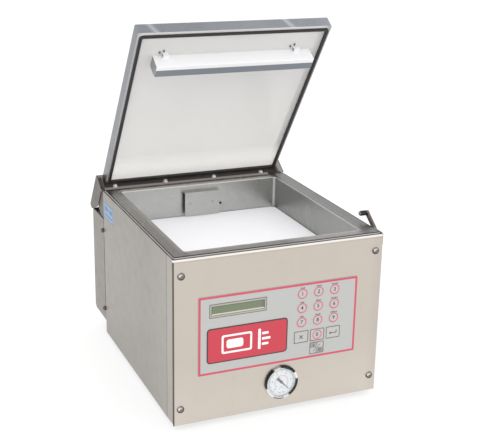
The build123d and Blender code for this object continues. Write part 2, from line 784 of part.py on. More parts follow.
with BuildPart() as lid_gasket:
    with BuildSketch(LID.offset(-LID_SEAT)):
        with Locations((0, (WINDOW_S0 + WINDOW_S1) / 2)):
            RectangleRounded(GASKET_OUTER_W, GASKET_OUTER_L, WINDOW_R - GASKET_GAP)
            RectangleRounded(
                GASKET_OUTER_W - 2 * GASKET_W, GASKET_OUTER_L - 2 * GASKET_W, 3.0,
                mode=Mode.SUBTRACT,
            )
    extrude(amount=LID_SEAT + GASKET_PROUD)
    fillet(lid_gasket.faces().sort_by(LID_OUT)[-1].edges(), 1.6)
save(lid_gasket, "lid_gasket")

COUNTER_L = 334.0
COUNTER_S0, COUNTER_S1 = 366.5, 393.5
COUNTER_DEPTH = 30.0
STRIP_CENTRE = (BAR_X, COUNTER_S0 + 9.5)

with BuildPart() as counter_bar:
    with BuildSketch(LID.offset(-LID_SEAT)):
        with Locations((BAR_X, (COUNTER_S0 + COUNTER_S1) / 2)):
            Rectangle(COUNTER_L, COUNTER_S1 - COUNTER_S0)
    extrude(amount=COUNTER_DEPTH + LID_SEAT)
    chamfer(counter_bar.faces().sort_by(LID_OUT)[-1].edges(), 0.8)
    # groove for the silicone strip
    with BuildSketch(LID.offset(COUNTER_DEPTH + 1.0)):
        with Locations(STRIP_CENTRE):
            Rectangle(COUNTER_L + 4.0, 16.4)
    extrude(amount=-6.0, mode=Mode.SUBTRACT)
    # two fixing lugs on the side towards the lid's free edge
    with BuildSketch(LID.offset(-LID_SEAT)):
        with Locations((-138.0, COUNTER_S1 + 3.0), (140.0, COUNTER_S1 + 3.0)):
            RectangleRounded(13.0, 8.0, 2.5)
    extrude(amount=8.0)
save(counter_bar, "counter_bar")

with BuildPart() as counter_bar_silicone:
    with BuildSketch(LID.offset(COUNTER_DEPTH - 5.0 + GAP)):
        with Locations(STRIP_CENTRE):
            Rectangle(COUNTER_L - 1.0, 16.2)
    extrude(amount=5.5)
    fillet(
        counter_bar_silicone.faces().sort_by(LID_OUT)[-1].edges().filter_by(Axis.X),
        1.2,
    )
save(counter_bar_silicone, "counter_bar_silicone")

# Full-width hinge channel: a back sheet on top of the lid's rear edge and a
# cheek down each side, outside the casing.
BRACKET_X = 217.6
BRACKET_T = 2.0
BRACKET_IN = 24.2                     # sheet's inner face above the lid underside
BRACKET_OUT = BRACKET_IN + BRACKET_T  # sheet's outer face
# along the lid from its rear edge, out of its underside
BRACKET_OUTLINE = (
    (14.0, -BRACKET_OUT),
    (17.5, -BRACKET_IN + 3.0),
    (18.5, 17.0),
    (9.0, 17.0),
    (2.0, 14.0),
    (-34.0, 14.0),
    (-43.0, 16.0),
    (-85.0, -13.0),
    (-85.0, -BRACKET_OUT),
)

with BuildPart() as hinge_bracket:
    with BuildSketch(lid_side(-BRACKET_X)):
        with BuildLine():
            Polyline(*BRACKET_OUTLINE, close=True)
        make_face()
    extrude(amount=2 * BRACKET_X)
    with BuildSketch(LID.offset(-BRACKET_IN)):
        with Locations((0, -30.0)):
            Rectangle(2 * (BRACKET_X - BRACKET_T), 140.0)
    extrude(amount=60.0, mode=Mode.SUBTRACT)
    with BuildSketch(LID.offset(-BRACKET_IN + 2.0)):
        with Locations(*BOLT_CENTRES):
            Circle(BOLT_HOLE_R)
    extrude(amount=-8.0, mode=Mode.SUBTRACT)
save(hinge_bracket, "hinge_bracket")

# Arms welded inside the channel that carry the lid on the hinge shaft.
ARM_EYE_R = 11.0

with BuildPart() as hinge_arms:
    for x in (-211.0, 206.0):
        with BuildSketch(lid_side(x)):
            with BuildLine():
                Polyline(
                    (8.0, -BRACKET_IN + GAP),
                    (PIVOT_S + ARM_EYE_R, PIVOT_D),
                    (PIVOT_S - ARM_EYE_R, PIVOT_D),
                    (-34.0, -BRACKET_IN + GAP),
                    close=True,
                )
            make_face()
            with Locations((PIVOT_S, PIVOT_D)):
                Circle(ARM_EYE_R)
                Circle(SHAFT_R + GAP, mode=Mode.SUBTRACT)
        extrude(amount=5.0)
save(hinge_arms, "hinge_arms")

with BuildPart() as lid_bolts:
    # hexagons on the bracket, shanks, then domed nuts under the lid
    with BuildSketch(LID.offset(-BRACKET_OUT - GAP)):
        with Locations(*BOLT_CENTRES):
            RegularPolygon(5.6, 6)
    extrude(amount=-4.0)
    with BuildSketch(LID.offset(-BRACKET_OUT - 0.1)):
        with Locations(*BOLT_CENTRES):
            Circle(3.0)
    extrude(amount=BRACKET_OUT + 2.0)
    with BuildSketch(LID.offset(GAP)):
        with Locations(*BOLT_CENTRES):
            Circle(4.8)
    extrude(amount=7.0)
    fillet(lid_bolts.faces().sort_by(LID_OUT)[-4:].edges(), 4.0)
save(lid_bolts, "lid_bolts")


# ============================================================ hinge, on the body
SHAFT_HALF_L = 211.9

with BuildPart() as hinge_shaft:
    with BuildSketch(at_x(-SHAFT_HALF_L)):
        with Locations((PIVOT_Y, PIVOT_Z)):
            Circle(SHAFT_R)
    extrude(amount=2 * SHAFT_HALF_L)
    chamfer(hinge_shaft.edges(), 0.8)
save(hinge_shaft, "hinge_shaft")

BLOCK_W = 14.0
BLOCK_FRONT_Y = REAR + GAP

with BuildPart() as hinge_blocks:
    for x in (-202.0, -7.0, 188.0):
        with BuildSketch(at_x(x)):
            with BuildLine():
                Polyline(
                    (BLOCK_FRONT_Y, PIVOT_Z - 24.0),
                    (REAR + 8.0, PIVOT_Z - 24.0),
                    (PIVOT_Y + 10.0, PIVOT_Z - 6.0),
                    (PIVOT_Y + 10.0, PIVOT_Z + 9.0),
                    (BLOCK_FRONT_Y, PIVOT_Z + 9.0),
                    close=True,
                )
            make_face()
            with Locations((PIVOT_Y, PIVOT_Z)):
                Circle(SHAFT_R + 0.03, mode=Mode.SUBTRACT)
        extrude(amount=BLOCK_W)
    # rounded guard plates that close the hinge space at both sides, each with
    # a flange on the rear panel: plate's left face x, flange centre x
    for plate_x, flange_x in ((-213.6, -207.1), (212.1, 207.1)):
        with BuildSketch(at_x(plate_x)):
            with Locations((PIVOT_Y, PIVOT_Z)):
                Circle(44.8)
            # trim the disc in front, below and above
            with Locations((BLOCK_FRONT_Y - 50.0, PIVOT_Z)):
                Rectangle(100.0, 120.0, mode=Mode.SUBTRACT)
            with Locations((PIVOT_Y, 245.0)):
                Rectangle(140.0, 50.0, mode=Mode.SUBTRACT)
            with Locations((PIVOT_Y, 380.0)):
                Rectangle(140.0, 96.0, mode=Mode.SUBTRACT)
        extrude(amount=SHEET)
        with BuildSketch(at_depth(BODY_D + GAP)):
            with Locations((flange_x, 280.0)):
                Rectangle(13.0, 38.0)
        extrude(amount=-SHEET)
save(hinge_blocks, "hinge_blocks")

# Torsion springs that carry the lid's weight, drawn fully wound.
SPRING_PITCH = 3.4
SPRING_TURNS = 10

with BuildPart() as torsion_springs:
    for x in (-184.0, 150.0):
        with BuildLine():
            coil = Helix(
                pitch=SPRING_PITCH, height=SPRING_TURNS * SPRING_PITCH, radius=9.0,
                center=(x, PIVOT_Y, PIVOT_Z), direction=(1, 0, 0),
            )
        with BuildSketch(Plane(origin=coil @ 0, z_dir=coil % 0)):
            Circle(1.1)
        sweep(path=coil, is_frenet=True)
save(torsion_springs, "torsion_springs")


# ============================================================ lid latch
LATCH_X0, LATCH_X1 = 218.6, 224.2  # inner and outer face of the arm
LATCH_W = 9.0
LATCH_BOLT_R = 4.0
GRIP_PIN_R = 2.6

with BuildPart() as latch_pivot_bolt:
    # flat plate on the side sheet, with the pivot bolt through it
    with BuildSketch(at_x(SIDE + GAP)):
        with Locations((fy(26.0), 320.5)):
            RectangleRounded(42.0, 25.0, 3.0)
    extrude(amount=2.6)
    with BuildSketch(at_x(206.0)):
        with Locations((LATCH_Y, LATCH_Z)):
            Circle(3.0)
    extrude(amount=10.0)
    with BuildSketch(at_x(217.0)):
        with Locations((LATCH_Y, LATCH_Z)):
            Circle(LATCH_BOLT_R)
    extrude(amount=8.0)
    with BuildSketch(at_x(LATCH_X1 + 0.2)):
        with Locations((LATCH_Y, LATCH_Z)):
            Circle(5.6)
    extrude(amount=2.0)
    fillet(latch_pivot_bolt.faces().sort_by(Axis.X)[-1].edges(), 1.3)
save(latch_pivot_bolt, "latch_pivot_bolt")

with BuildPart() as latch_arm:
    with BuildSketch(at_x(LATCH_X0)):
        with BuildLine():
            Line((LATCH_Y, LATCH_Z), (GRIP_Y, GRIP_Z))
        trace(line_width=LATCH_W)
        with Locations((LATCH_Y, LATCH_Z)):
            Circle(8.0)
        with Locations((GRIP_Y, GRIP_Z)):
            Circle(LATCH_W / 2 + 0.4)
        with Locations((LATCH_Y, LATCH_Z)):
            Circle(LATCH_BOLT_R + GAP, mode=Mode.SUBTRACT)
    extrude(amount=LATCH_X1 - LATCH_X0)
    fillet(latch_arm.faces().sort_by(Axis.X)[-1].outer_wire().edges(), 1.2)
    # cross pin with a flat head on its inner end
    with BuildSketch(at_x(204.0)):
        with Locations((GRIP_Y, GRIP_Z)):
            Circle(GRIP_PIN_R)
    extrude(amount=16.0)
    with BuildSketch(at_x(203.9)):
        with Locations((GRIP_Y, GRIP_Z)):
            Circle(4.2)
    extrude(amount=1.8)
save(latch_arm, "latch_arm")

with BuildPart() as latch_grip:
    with BuildSketch(at_x(205.8)):
        with Locations((GRIP_Y, GRIP_Z)):
            Circle(5.2)
            Circle(GRIP_PIN_R + GAP, mode=Mode.SUBTRACT)
    extrude(amount=12.7)
    fillet(latch_grip.faces().sort_by(Axis.X)[0].outer_wire().edges(), 0.8)
    fillet(latch_grip.faces().sort_by(Axis.X)[-1].outer_wire().edges(), 0.8)
save(latch_grip, "latch_grip")


# ============================================================ machinery inside
# Rotary vane pump with its motor in line along X.
PUMP_Y, PUMP_Z = fy(300.0), 92.0
PUMP_PORT_X, PUMP_PORT_Z = -28.0, 110.0
PUMP_RIB_T = 3.5
MACHINE_FOOT_Z = PAN_FLOOR_Z + GAP

with BuildPart() as vacuum_pump:
    with BuildSketch(at_x(-70.0)):
        with Locations((PUMP_Y, PUMP_Z)):
            RectangleRounded(118, 124, 14)
    extrude(amount=120.0)
    # end rib, then eight cooling ribs
    with BuildSketch(at_x(-66.0)):
        with Locations((PUMP_Y, PUMP_Z)):
            RectangleRounded(130, 130, 14)
            RectangleRounded(110, 110, 10, mode=Mode.SUBTRACT)
    extrude(amount=PUMP_RIB_T)
    for rib in range(8):
        with BuildSketch(at_x(-60.0 + 13.0 * rib)):
            with Locations((PUMP_Y, PUMP_Z + 4)):
                RectangleRounded(128, 128, 14)
        extrude(amount=PUMP_RIB_T)
    # feet that stand on the base pan
    with BuildSketch(at_height(MACHINE_FOOT_Z)):
        with Locations(*[(x, PUMP_Y + y) for y in (-40, 40) for x in (-50, 30)]):
            Rectangle(26, 22)
    extrude(amount=30.0)
    # suction spigot at the back
    with BuildSketch(at_depth(355.0)):
        with Locations((PUMP_PORT_X, PUMP_PORT_Z)):
            Circle(SPIGOT_R)
    extrude(amount=-16.5)
save(vacuum_pump, "vacuum_pump")

MOTOR_CENTRE = (PUMP_Y, 96.0)
COWL_R = 54
MOTOR_SHAFT_R = 7.0

with BuildPart() as pump_motor:
    with BuildSketch(at_x(50.2)):
        with Locations(MOTOR_CENTRE):
            Circle(50)
    extrude(amount=104.0)
    for rib in range(7):
        with BuildSketch(at_x(60.0 + 12.0 * rib)):
            with Locations(MOTOR_CENTRE):
                Circle(55)
        extrude(amount=4.0)
    # fan cowl, open at its end
    with BuildSketch(at_x(150.0)):
        with Locations(MOTOR_CENTRE):
            Circle(COWL_R)
            Circle(51.5, mode=Mode.SUBTRACT)
    extrude(amount=38.0)
    with BuildSketch(at_x(144.0)):
        with Locations(MOTOR_CENTRE):
            Circle(COWL_R)
    extrude(amount=8.0)
    # rotor shaft bore
    with BuildSketch(at_x(120.0)):
        with Locations(MOTOR_CENTRE):
            Circle(MOTOR_SHAFT_R + GAP)
    extrude(amount=40.0, mode=Mode.SUBTRACT)
    # feet
    with BuildSketch(at_height(MACHINE_FOOT_Z)):
        with Locations(*[(x, PUMP_Y + y) for y in (-30, 30) for x in (80, 125)]):
            Rectangle(20, 18)
    extrude(amount=55.0)
save(pump_motor, "pump_motor")

with BuildPart() as motor_fan:
    # shaft, hub, then blades
    with BuildSketch(at_x(122.0)):
        with Locations(MOTOR_CENTRE):
            Circle(MOTOR_SHAFT_R)
    extrude(amount=58.0)
    with BuildSketch(at_x(162.0)):
        with Locations(MOTOR_CENTRE):
            Circle(16.0)
    extrude(amount=16.0)
    with BuildSketch(at_x(163.0)):
        with Locations(MOTOR_CENTRE):
            with PolarLocations(30.0, 7):
                Rectangle(34, 3.0)
    extrude(amount=14.0)
save(motor_fan, "motor_fan")

FILTER_CENTRE = (PUMP_Y, 110.0)

with BuildPart() as oil_filter:
    # canister, end cap, then a stub on top
    with BuildSketch(at_x(-178.0)):
        with Locations(FILTER_CENTRE):
            Circle(40)
    extrude(amount=108.0 - GAP)
    with BuildSketch(at_x(-186.0)):
        with Locations(FILTER_CENTRE):
            Circle(30)
    extrude(amount=9.0)
    with BuildSketch(at_height(140.0)):
        with Locations((-130, PUMP_Y)):
            Circle(9)
    extrude(amount=22.0)
save(oil_filter, "oil_filter")

VALVE_Y = fy(392.0)
VALVE_Z0 = 150.0
VALVE_PORT_Z = 165.0

with BuildPart() as valve_block:
    with BuildSketch(at_height(VALVE_Z0)):
        with Locations((0, VALVE_Y)):
            Rectangle(90, 36)
    extrude(amount=30.0)
    # three blocks on top
    with BuildSketch(at_height(179.9)):
        with Locations(*[(x, VALVE_Y) for x in (-28, 0, 28)]):
            Rectangle(20, 26)
    extrude(amount=26.0)
    # spigots at the back and underneath
    with BuildSketch(Plane.XZ.offset(-VALVE_Y - 17.9)):
        with Locations((0, VALVE_PORT_Z)):
            Circle(SPIGOT_R)
    extrude(amount=-9.6)
    with BuildSketch(at_height(VALVE_Z0 + 0.1)):
        with Locations((PUMP_PORT_X, VALVE_Y)):
            Circle(SPIGOT_R)
    extrude(amount=-19.6)
save(valve_block, "valve_block")

# Each hose drops from its upper end and bends forwards to its lower end:
# x, upper end y and z, lower end y and z, bend radius.
HOSES = (
    (0.0, DUCT_HOSE_Y, 211.0, fy(412.0), VALVE_PORT_Z, 21.8),          # chamber to valves
    (PUMP_PORT_X, VALVE_Y, 144.0, fy(366.0), PUMP_PORT_Z, 20.0),       # valves to pump
)

with BuildPart() as vacuum_hoses:
    for x, top_y, top_z, end_y, end_z, bend_r in HOSES:
        with BuildLine(at_x(x)):
            drop = Line((top_y, top_z), (top_y, end_z + bend_r))
            bend = RadiusArc(drop @ 1, (top_y - bend_r, end_z), bend_r)
            Line(bend @ 1, (end_y, end_z))
        with BuildSketch(Plane(origin=(x, top_y, top_z), z_dir=(0, 0, -1))):
            Circle(9.4)
            Circle(6.88, mode=Mode.SUBTRACT)
        sweep()
save(vacuum_hoses, "vacuum_hoses")

TRANSFORMER_CENTRE = (-130, fy(110.0))

with BuildPart() as seal_transformer:
    # mounting plate, core, then winding
    with BuildSketch(at_height(MACHINE_FOOT_Z)):
        with Locations(TRANSFORMER_CENTRE):
            Rectangle(96, 86)
    extrude(amount=6.0)
    with BuildSketch(at_height(10.0)):
        with Locations(TRANSFORMER_CENTRE):
            Rectangle(84, 56)
    extrude(amount=72.0)
    with BuildSketch(at_height(24.0)):
        with Locations(TRANSFORMER_CENTRE):
            RectangleRounded(56, 84, 8)
    extrude(amount=44.0)
save(seal_transformer, "seal_transformer")

BOARD_DEPTH = 16.0  # board's front, behind the front face

with BuildPart() as control_board:
    with BuildSketch(at_depth(BOARD_DEPTH)):
        with Locations((20.0, 160.0)):
            Rectangle(230, 90)
    extrude(amount=-1.6)
    # components on the rear side
    with BuildSketch(at_depth(BOARD_DEPTH + 1.5)):
        with Locations((-60.0, 175.0)):
            Rectangle(40, 30)
        with Locations((10.0, 180.0)):
            Rectangle(34, 34)
        with Locations((80.0, 150.0)):
            Rectangle(52, 22)
    extrude(amount=-11.0)
    # stand-off pillars to the back of the front panel
    with BuildSketch(at_depth(BOARD_DEPTH + 0.1)):
        with Locations(*[(x, z) for z in (122, 198) for x in (-88, 128)]):
            Circle(3.0)
    extrude(amount=14.5)
save(control_board, "control_board")

with BuildPart() as power_inlet:
    with BuildSketch(at_depth(COVER_BACK + GAP)):
        with Locations((INLET_X, INLET_Z)):
            RectangleRounded(50, 24, 4)
    extrude(amount=-2.5)
    with BuildSketch(at_depth(COVER_BACK + 1.0)):
        with Locations((INLET_X, INLET_Z)):
            Rectangle(27, 19.6)
    extrude(amount=24.0)
    with BuildSketch(at_depth(COVER_BACK + 3.0)):
        with Locations((INLET_X, INLET_Z)):
            RectangleRounded(23, 15, 2)
    extrude(amount=18.0, mode=Mode.SUBTRACT)
    # three contact pins
    with BuildSketch(at_depth(COVER_BACK - 14.0)):
        with Locations(
            (INLET_X, INLET_Z + 2.5), (INLET_X - 7, INLET_Z - 2), (INLET_X + 7, INLET_Z - 2)
        ):
            Rectangle(2.0, 4.5)
    extrude(amount=-12.0)
save(power_inlet, "power_inlet")

# Reed switch on the rear panel that tells the control the lid is down.
SWITCH_X, SWITCH_Z = 140.0, 290.0

with BuildPart() as lid_switch:
    with BuildSketch(at_depth(BODY_D + GAP)):
        with Locations((SWITCH_X, SWITCH_Z)):
            RectangleRounded(28, 14, 3)
    extrude(amount=-7.0)
    with BuildSketch(at_depth(BODY_D + 7.0)):
        with Locations((SWITCH_X - 8.0, SWITCH_Z), (SWITCH_X + 8.0, SWITCH_Z)):
            Circle(2.6)
    extrude(amount=-1.4)
save(lid_switch, "lid_switch")
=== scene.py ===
"""Looks for a table-top chamber vacuum sealer with its lid open.

The front faces -Y, the left side -X and +Z is up. The lid is hinged along the rear and leans
back at LID_TILT. Lengths are in metres; flat printed outlines and the sizes in their sections are
in millimetres round a centre given in metres. The ranges in the finishes are metres in the
piece's own frame, noise values, or cosines of the angle a face makes with a direction.
"""
import math

import bpy
from mathutils import Matrix, Vector


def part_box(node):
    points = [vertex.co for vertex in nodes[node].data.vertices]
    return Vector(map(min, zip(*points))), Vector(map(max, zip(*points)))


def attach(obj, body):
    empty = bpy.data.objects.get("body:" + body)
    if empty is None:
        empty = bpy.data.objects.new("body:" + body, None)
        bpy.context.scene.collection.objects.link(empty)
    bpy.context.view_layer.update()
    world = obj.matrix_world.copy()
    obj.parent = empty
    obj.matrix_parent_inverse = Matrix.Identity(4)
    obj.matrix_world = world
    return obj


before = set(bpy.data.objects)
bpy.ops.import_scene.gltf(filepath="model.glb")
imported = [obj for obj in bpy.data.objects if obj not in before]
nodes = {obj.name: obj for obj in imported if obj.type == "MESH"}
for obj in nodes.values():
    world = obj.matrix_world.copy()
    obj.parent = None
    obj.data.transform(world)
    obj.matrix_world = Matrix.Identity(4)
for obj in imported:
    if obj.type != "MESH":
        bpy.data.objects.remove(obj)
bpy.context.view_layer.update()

MM = 0.001
INK = 0.06 * MM  # thickness of a printed layer

# ------------------------------------------------------------------ driving places
front_low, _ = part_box("front_panel")
FRONT_Y = front_low.y
FOLD_Y = FRONT_Y + 37 * MM  # rear edge of the folded strip on the side sheets

LID_TILT = math.radians(55)
LID_ALONG = Vector((0, -math.cos(LID_TILT), math.sin(LID_TILT)))  # from rear edge to free edge
LID_UNDER = Vector((0, -math.sin(LID_TILT), -math.cos(LID_TILT)))  # out of the underside
LID_PIVOT = Vector((0, 241.0 * MM, 315.1 * MM))
# rear edge of the lid's underside, which lies this far from the pivot
LID_ORIGIN = LID_PIVOT + LID_ALONG * (0.5 * MM) - LID_UNDER * (24.1 * MM)

LEFT, RIGHT, UP = (-1, 0, 0), (1, 0, 0), (0, 0, 1)


# ------------------------------------------------------------------ colours and shader nodes
def srgb(red, green, blue):
    """8-bit display colour to linear."""
    values = (v / 255.0 for v in (red, green, blue))
    return tuple(v / 12.92 if v <= 0.04045 else ((v + 0.055) / 1.055) ** 2.4
                 for v in values) + (1.0,)


def scaled(colour, gain):
    return tuple(min(1.0, c * gain) for c in colour[:3]) + (1.0,)


MID = (0.3, 0.7)  # range that holds most of a noise texture's values
MATERIALS = {}


class Graph:
    """A node tree; each method adds nodes and returns the output socket."""

    def __init__(self, tree):
        self.tree = tree
        tree.nodes.clear()

    def put(self, socket, value):
        if isinstance(value, bpy.types.NodeSocket):
            self.tree.links.new(value, socket)
        else:
            socket.default_value = value

    def node(self, kind, inputs=None, **settings):
        node = self.tree.nodes.new("ShaderNode" + kind)
        for key, value in settings.items():
            setattr(node, key, value)
        for key, value in (inputs or {}).items():
            self.put(node.inputs[key], value)
        return node

    def noise(self, scale, detail, rough, distortion=0.0, stretch=(1, 1, 1)):
        place = self.node("TexCoord").outputs["Object"]
        place = self.node("Mapping", {"Scale": stretch, "Vector": place}).outputs["Vector"]
        return self.node("TexNoise", {
            "Scale": scale, "Detail": detail, "Roughness": rough,
            "Distortion": distortion, "Vector": place}).outputs["Fac"]

    def ramp(self, value, over=MID, to=(0.0, 1.0)):
        """Maps the range `over` to the range `to`."""
        return self.node("MapRange", {
            "From Min": over[0], "From Max": over[1],
            "To Min": to[0], "To Max": to[1], "Value": value}).outputs["Result"]

    def math(self, operation, a, b=None, clamp=False):
        inputs = {0: a} if b is None else {0: a, 1: b}
        return self.node("Math", inputs, operation=operation, use_clamp=clamp).outputs["Value"]

    def both(self, a, b):
        return self.math("MULTIPLY", a, b, clamp=True)

    def either(self, a, b):
        return self.math("ADD", a, b, clamp=True)

    def band(self, value, over, soft):
        """1 inside the range `over`, with edges `soft` either side."""
        start, end = over
        return self.both(self.ramp(value, over=(start - soft, start + soft)),
                         self.ramp(value, over=(end - soft, end + soft), to=(1.0, 0.0)))

    def mix(self, factor, first, second):
        # 0, 6 and 7 are the mix node's factor and colour inputs, 2 its colour output
        return self.node("Mix", {0: factor, 6: first, 7: second}, data_type="RGBA").outputs[2]

    def shade(self, base, where, gain):
        """Multiplies the colour by gain where `where` is 1."""
        factor = self.math("ADD", self.math("MULTIPLY", where, gain - 1.0), 1.0)
        return self.node("VectorMath", {0: base, "Scale": factor},
                         operation="SCALE").outputs["Vector"]

    def split(self, vector):
        parts = self.node("SeparateXYZ", {0: vector}).outputs
        return parts["X"], parts["Y"], parts["Z"]

    def position(self):
        """Position in the piece's own frame, so that the finish moves with it."""
        return self.split(self.node("TexCoord").outputs["Object"])

    def facing(self, direction, over):
        """How far the surface faces a direction in the piece's frame, mapped from `over`."""
        return self.ramp(self.toward(direction), over=over)

    def toward(self, direction):
        normal = self.node("TexCoord").outputs["Normal"]
        return self.node("VectorMath", {0: normal, 1: direction},
                         operation="DOT_PRODUCT").outputs["Value"]

    def colour_ramp(self, factor, stops):
        """Stops are (position, (r, g, b)), in order."""
        node = self.node("ValToRGB", {"Fac": factor})
        elements = node.color_ramp.elements
        for element, (place, colour) in zip(elements, (stops[0], stops[-1])):
            element.position = place
            element.color = (*colour, 1)
        for place, colour in stops[1:-1]:
            elements.new(place).color = (*colour, 1)
        return node.outputs["Color"]


class Shader(Graph):
    """A material with one principled surface."""

    def __init__(self, name):
        self.material = MATERIALS[name] = bpy.data.materials.new(name)
        self.material.use_nodes = True
        super().__init__(self.material.node_tree)
        self.output = self.node("OutputMaterial")
        self.principled = self.node("BsdfPrincipled")
        self.put(self.output.inputs["Surface"], self.principled.outputs["BSDF"])

    def surface(self, values):
        for key, value in values.items():
            self.put(self.principled.inputs[key], value)

    def bump(self, height, strength, distance):
        node = self.node("Bump", {"Strength": strength, "Distance": distance, "Height": height})
        self.surface({"Normal": node.outputs["Normal"]})

    def see_through(self, tint, solid):
        """Mixes the surface, by the share `solid`, over a tinted transparent one."""
        clear = self.node("BsdfTransparent", {"Color": tint})
        mixed = self.node("MixShader", {
            0: solid, 1: clear.outputs[0], 2: self.principled.outputs[0]})
        self.put(self.output.inputs["Surface"], mixed.outputs[0])


# ------------------------------------------------------------------ base finishes
def steel(name, colour, streaks, rough, metal=1.0, grain=0.05, cloud=0.05, relief=0.06,
          cloud_scale=5.0, tint=None):
    """Brushed sheet: fine streaks along one axis, cloudy handling marks, faint wear.

    `streaks` scales the noise per axis. `tint(g, base)` and `metal(g)` add local changes."""
    g = Shader(name)
    colour = srgb(*colour)
    streak = g.noise(scale=5.0, detail=6.0, rough=0.65, stretch=[8.0 * s for s in streaks])
    fine = g.noise(scale=9.0, detail=3.0, rough=0.6, stretch=[22.0 * s for s in streaks])
    clouds = g.noise(scale=cloud_scale, detail=3.0, rough=0.5, distortion=0.3)
    wear = g.noise(scale=38.0, detail=5.0, rough=0.62)
    base = g.mix(g.ramp(streak), scaled(colour, 1 - grain), scaled(colour, 1 + grain))
    base = g.mix(g.ramp(clouds, over=(0.35, 0.7), to=(0.0, 0.55)), base,
                 scaled(colour, 1 - 2 * cloud))
    base = g.mix(g.ramp(wear, over=(0.62, 0.8), to=(0.0, 0.18)), base, scaled(colour, gain=0.7))
    if tint:
        base = tint(g, base)
    g.surface({
        "Base Color": base,
        "Metallic": metal(g) if callable(metal) else metal,
        "Roughness": g.either(g.ramp(streak, to=(rough - 0.05, rough + 0.06)),
                              g.ramp(wear, over=(0.4, 0.75), to=(-0.02, 0.06)))})
    height = g.math("ADD", streak, g.math("MULTIPLY", fine, 0.5))
    g.bump(height, strength=relief, distance=0.0002)
    return g


def plastic(name, colour, rough, grain, grain_scale, relief, blotch, specular=0.5, coat=0.0,
            glow=0.0, tint=None):
    """Even plastic, paint or ink with a fine grain and broad, faint blotches."""
    g = Shader(name)
    colour = srgb(*colour)
    fine = g.noise(scale=grain_scale, detail=4.0, rough=0.6)
    broad = g.noise(scale=9.0, detail=4.0, rough=0.5)
    base = g.mix(g.ramp(fine), scaled(colour, 1 - grain), scaled(colour, 1 + grain))
    base = g.mix(g.ramp(broad, over=(0.45, 0.75), to=(0.0, 0.6)), base,
                 scaled(colour, 1 - blotch))
    if tint:
        base = tint(g, base)
    g.surface({"Base Color": base, "Specular IOR Level": specular, "Coat Weight": coat})
    # glow is painted light: an emission on a part that is no lamp
    if glow:
        g.surface({"Emission Color": base, "Emission Strength": glow})
    g.surface({"Roughness": g.either(g.ramp(fine, to=(rough - 0.04, rough + 0.04)),
                                     g.ramp(broad, to=(-0.03, 0.05)))})
    g.bump(fine, strength=relief, distance=0.00015)
    return g


def dress(shader, *pieces):
    for piece in pieces:
        slots = nodes[piece].data.materials
        slots.clear()
        slots.append(shader.material)


# ------------------------------------------------------------------ local changes of finish: painted light and shade
def front_tint(g, base):
    """Brighter low down where the sheet sees the table, a painted reflection, with a painted
    highlight on the fold along the top and painted shade near the edges.
    """
    x, _, z = g.position()
    # painted reflection of the table, brighter low down
    base = g.shade(base, g.ramp(z, over=(0.13, 0.02)), gain=1.13)
    # painted shade, darker towards the right edge
    base = g.shade(base, g.ramp(x, over=(0.19, 0.214)), gain=0.93)
    # painted shade in a thin line under the fold
    base = g.shade(base, g.band(z, over=(0.3255, 0.3272), soft=0.0005), gain=0.9)
    # painted highlight on the fold along the top
    base = g.mix(g.both(g.ramp(z, over=(0.3283, 0.3292)), 0.8), base, srgb(238, 232, 226))
    # painted shade on faces turned up
    base = g.shade(base, g.facing(UP, over=(0.9, 0.98)), gain=0.12)
    # painted shade on the narrow edges to the left and right, below the fold
    sideways = g.math("ABSOLUTE", g.toward(RIGHT))
    edge = g.either(g.ramp(sideways, over=(0.5, 0.8)), g.ramp(x, over=(-0.2126, -0.2136)))
    return g.mix(g.both(edge, g.ramp(z, over=(0.3286, 0.3274))), base, srgb(100, 92, 84))


def front_metal(g):
    """The fold along the top is made nearly non-metallic, so its painted highlight shows."""
    _, _, z = g.position()
    return g.ramp(z, over=(0.3282, 0.3291), to=(1.0, 0.12))


def side_tint(g, base):
    """The folded front strip is painted lighter than the flat of the sheet; painted shade darkens
    the fold line, the rear, the top and the front gap.
    """
    _, y, z = g.position()
    # painted light on the folded front strip
    base = g.shade(base, g.ramp(y, over=(FOLD_Y + 0.0004, FOLD_Y - 0.0004)), gain=1.13)
    # painted shade along the fold line
    base = g.shade(base, g.band(y, over=(FOLD_Y - 0.0024, FOLD_Y + 0.0012), soft=0.0008),
                   gain=0.62)
    # painted shade, darker towards the rear
    base = g.shade(base, g.ramp(y, over=(FOLD_Y, FOLD_Y + 0.11)), gain=0.88)
    # painted shade, darker towards the top
    base = g.shade(base, g.ramp(z, over=(0.20, 0.33)), gain=0.94)
    base = g.shade(base, g.ramp(z, over=(0.12, 0.02)), gain=1.0)  # foot of the sheet, neutral
    # painted shadow under the flange along the top edge
    base = g.shade(base, g.ramp(z, over=(0.3312, 0.3322)), gain=0.45)
    # painted shade in the gap behind the front panel
    return g.shade(base, g.ramp(y, over=(FRONT_Y + 0.0086, FRONT_Y + 0.0081)), gain=0.3)


def mouth_rim(g, z):
    """1 where the chamber wall turns into the flange."""
    return g.both(g.ramp(z, over=(0.3316, 0.3326)), g.facing(UP, over=(0.8, 0.4)))


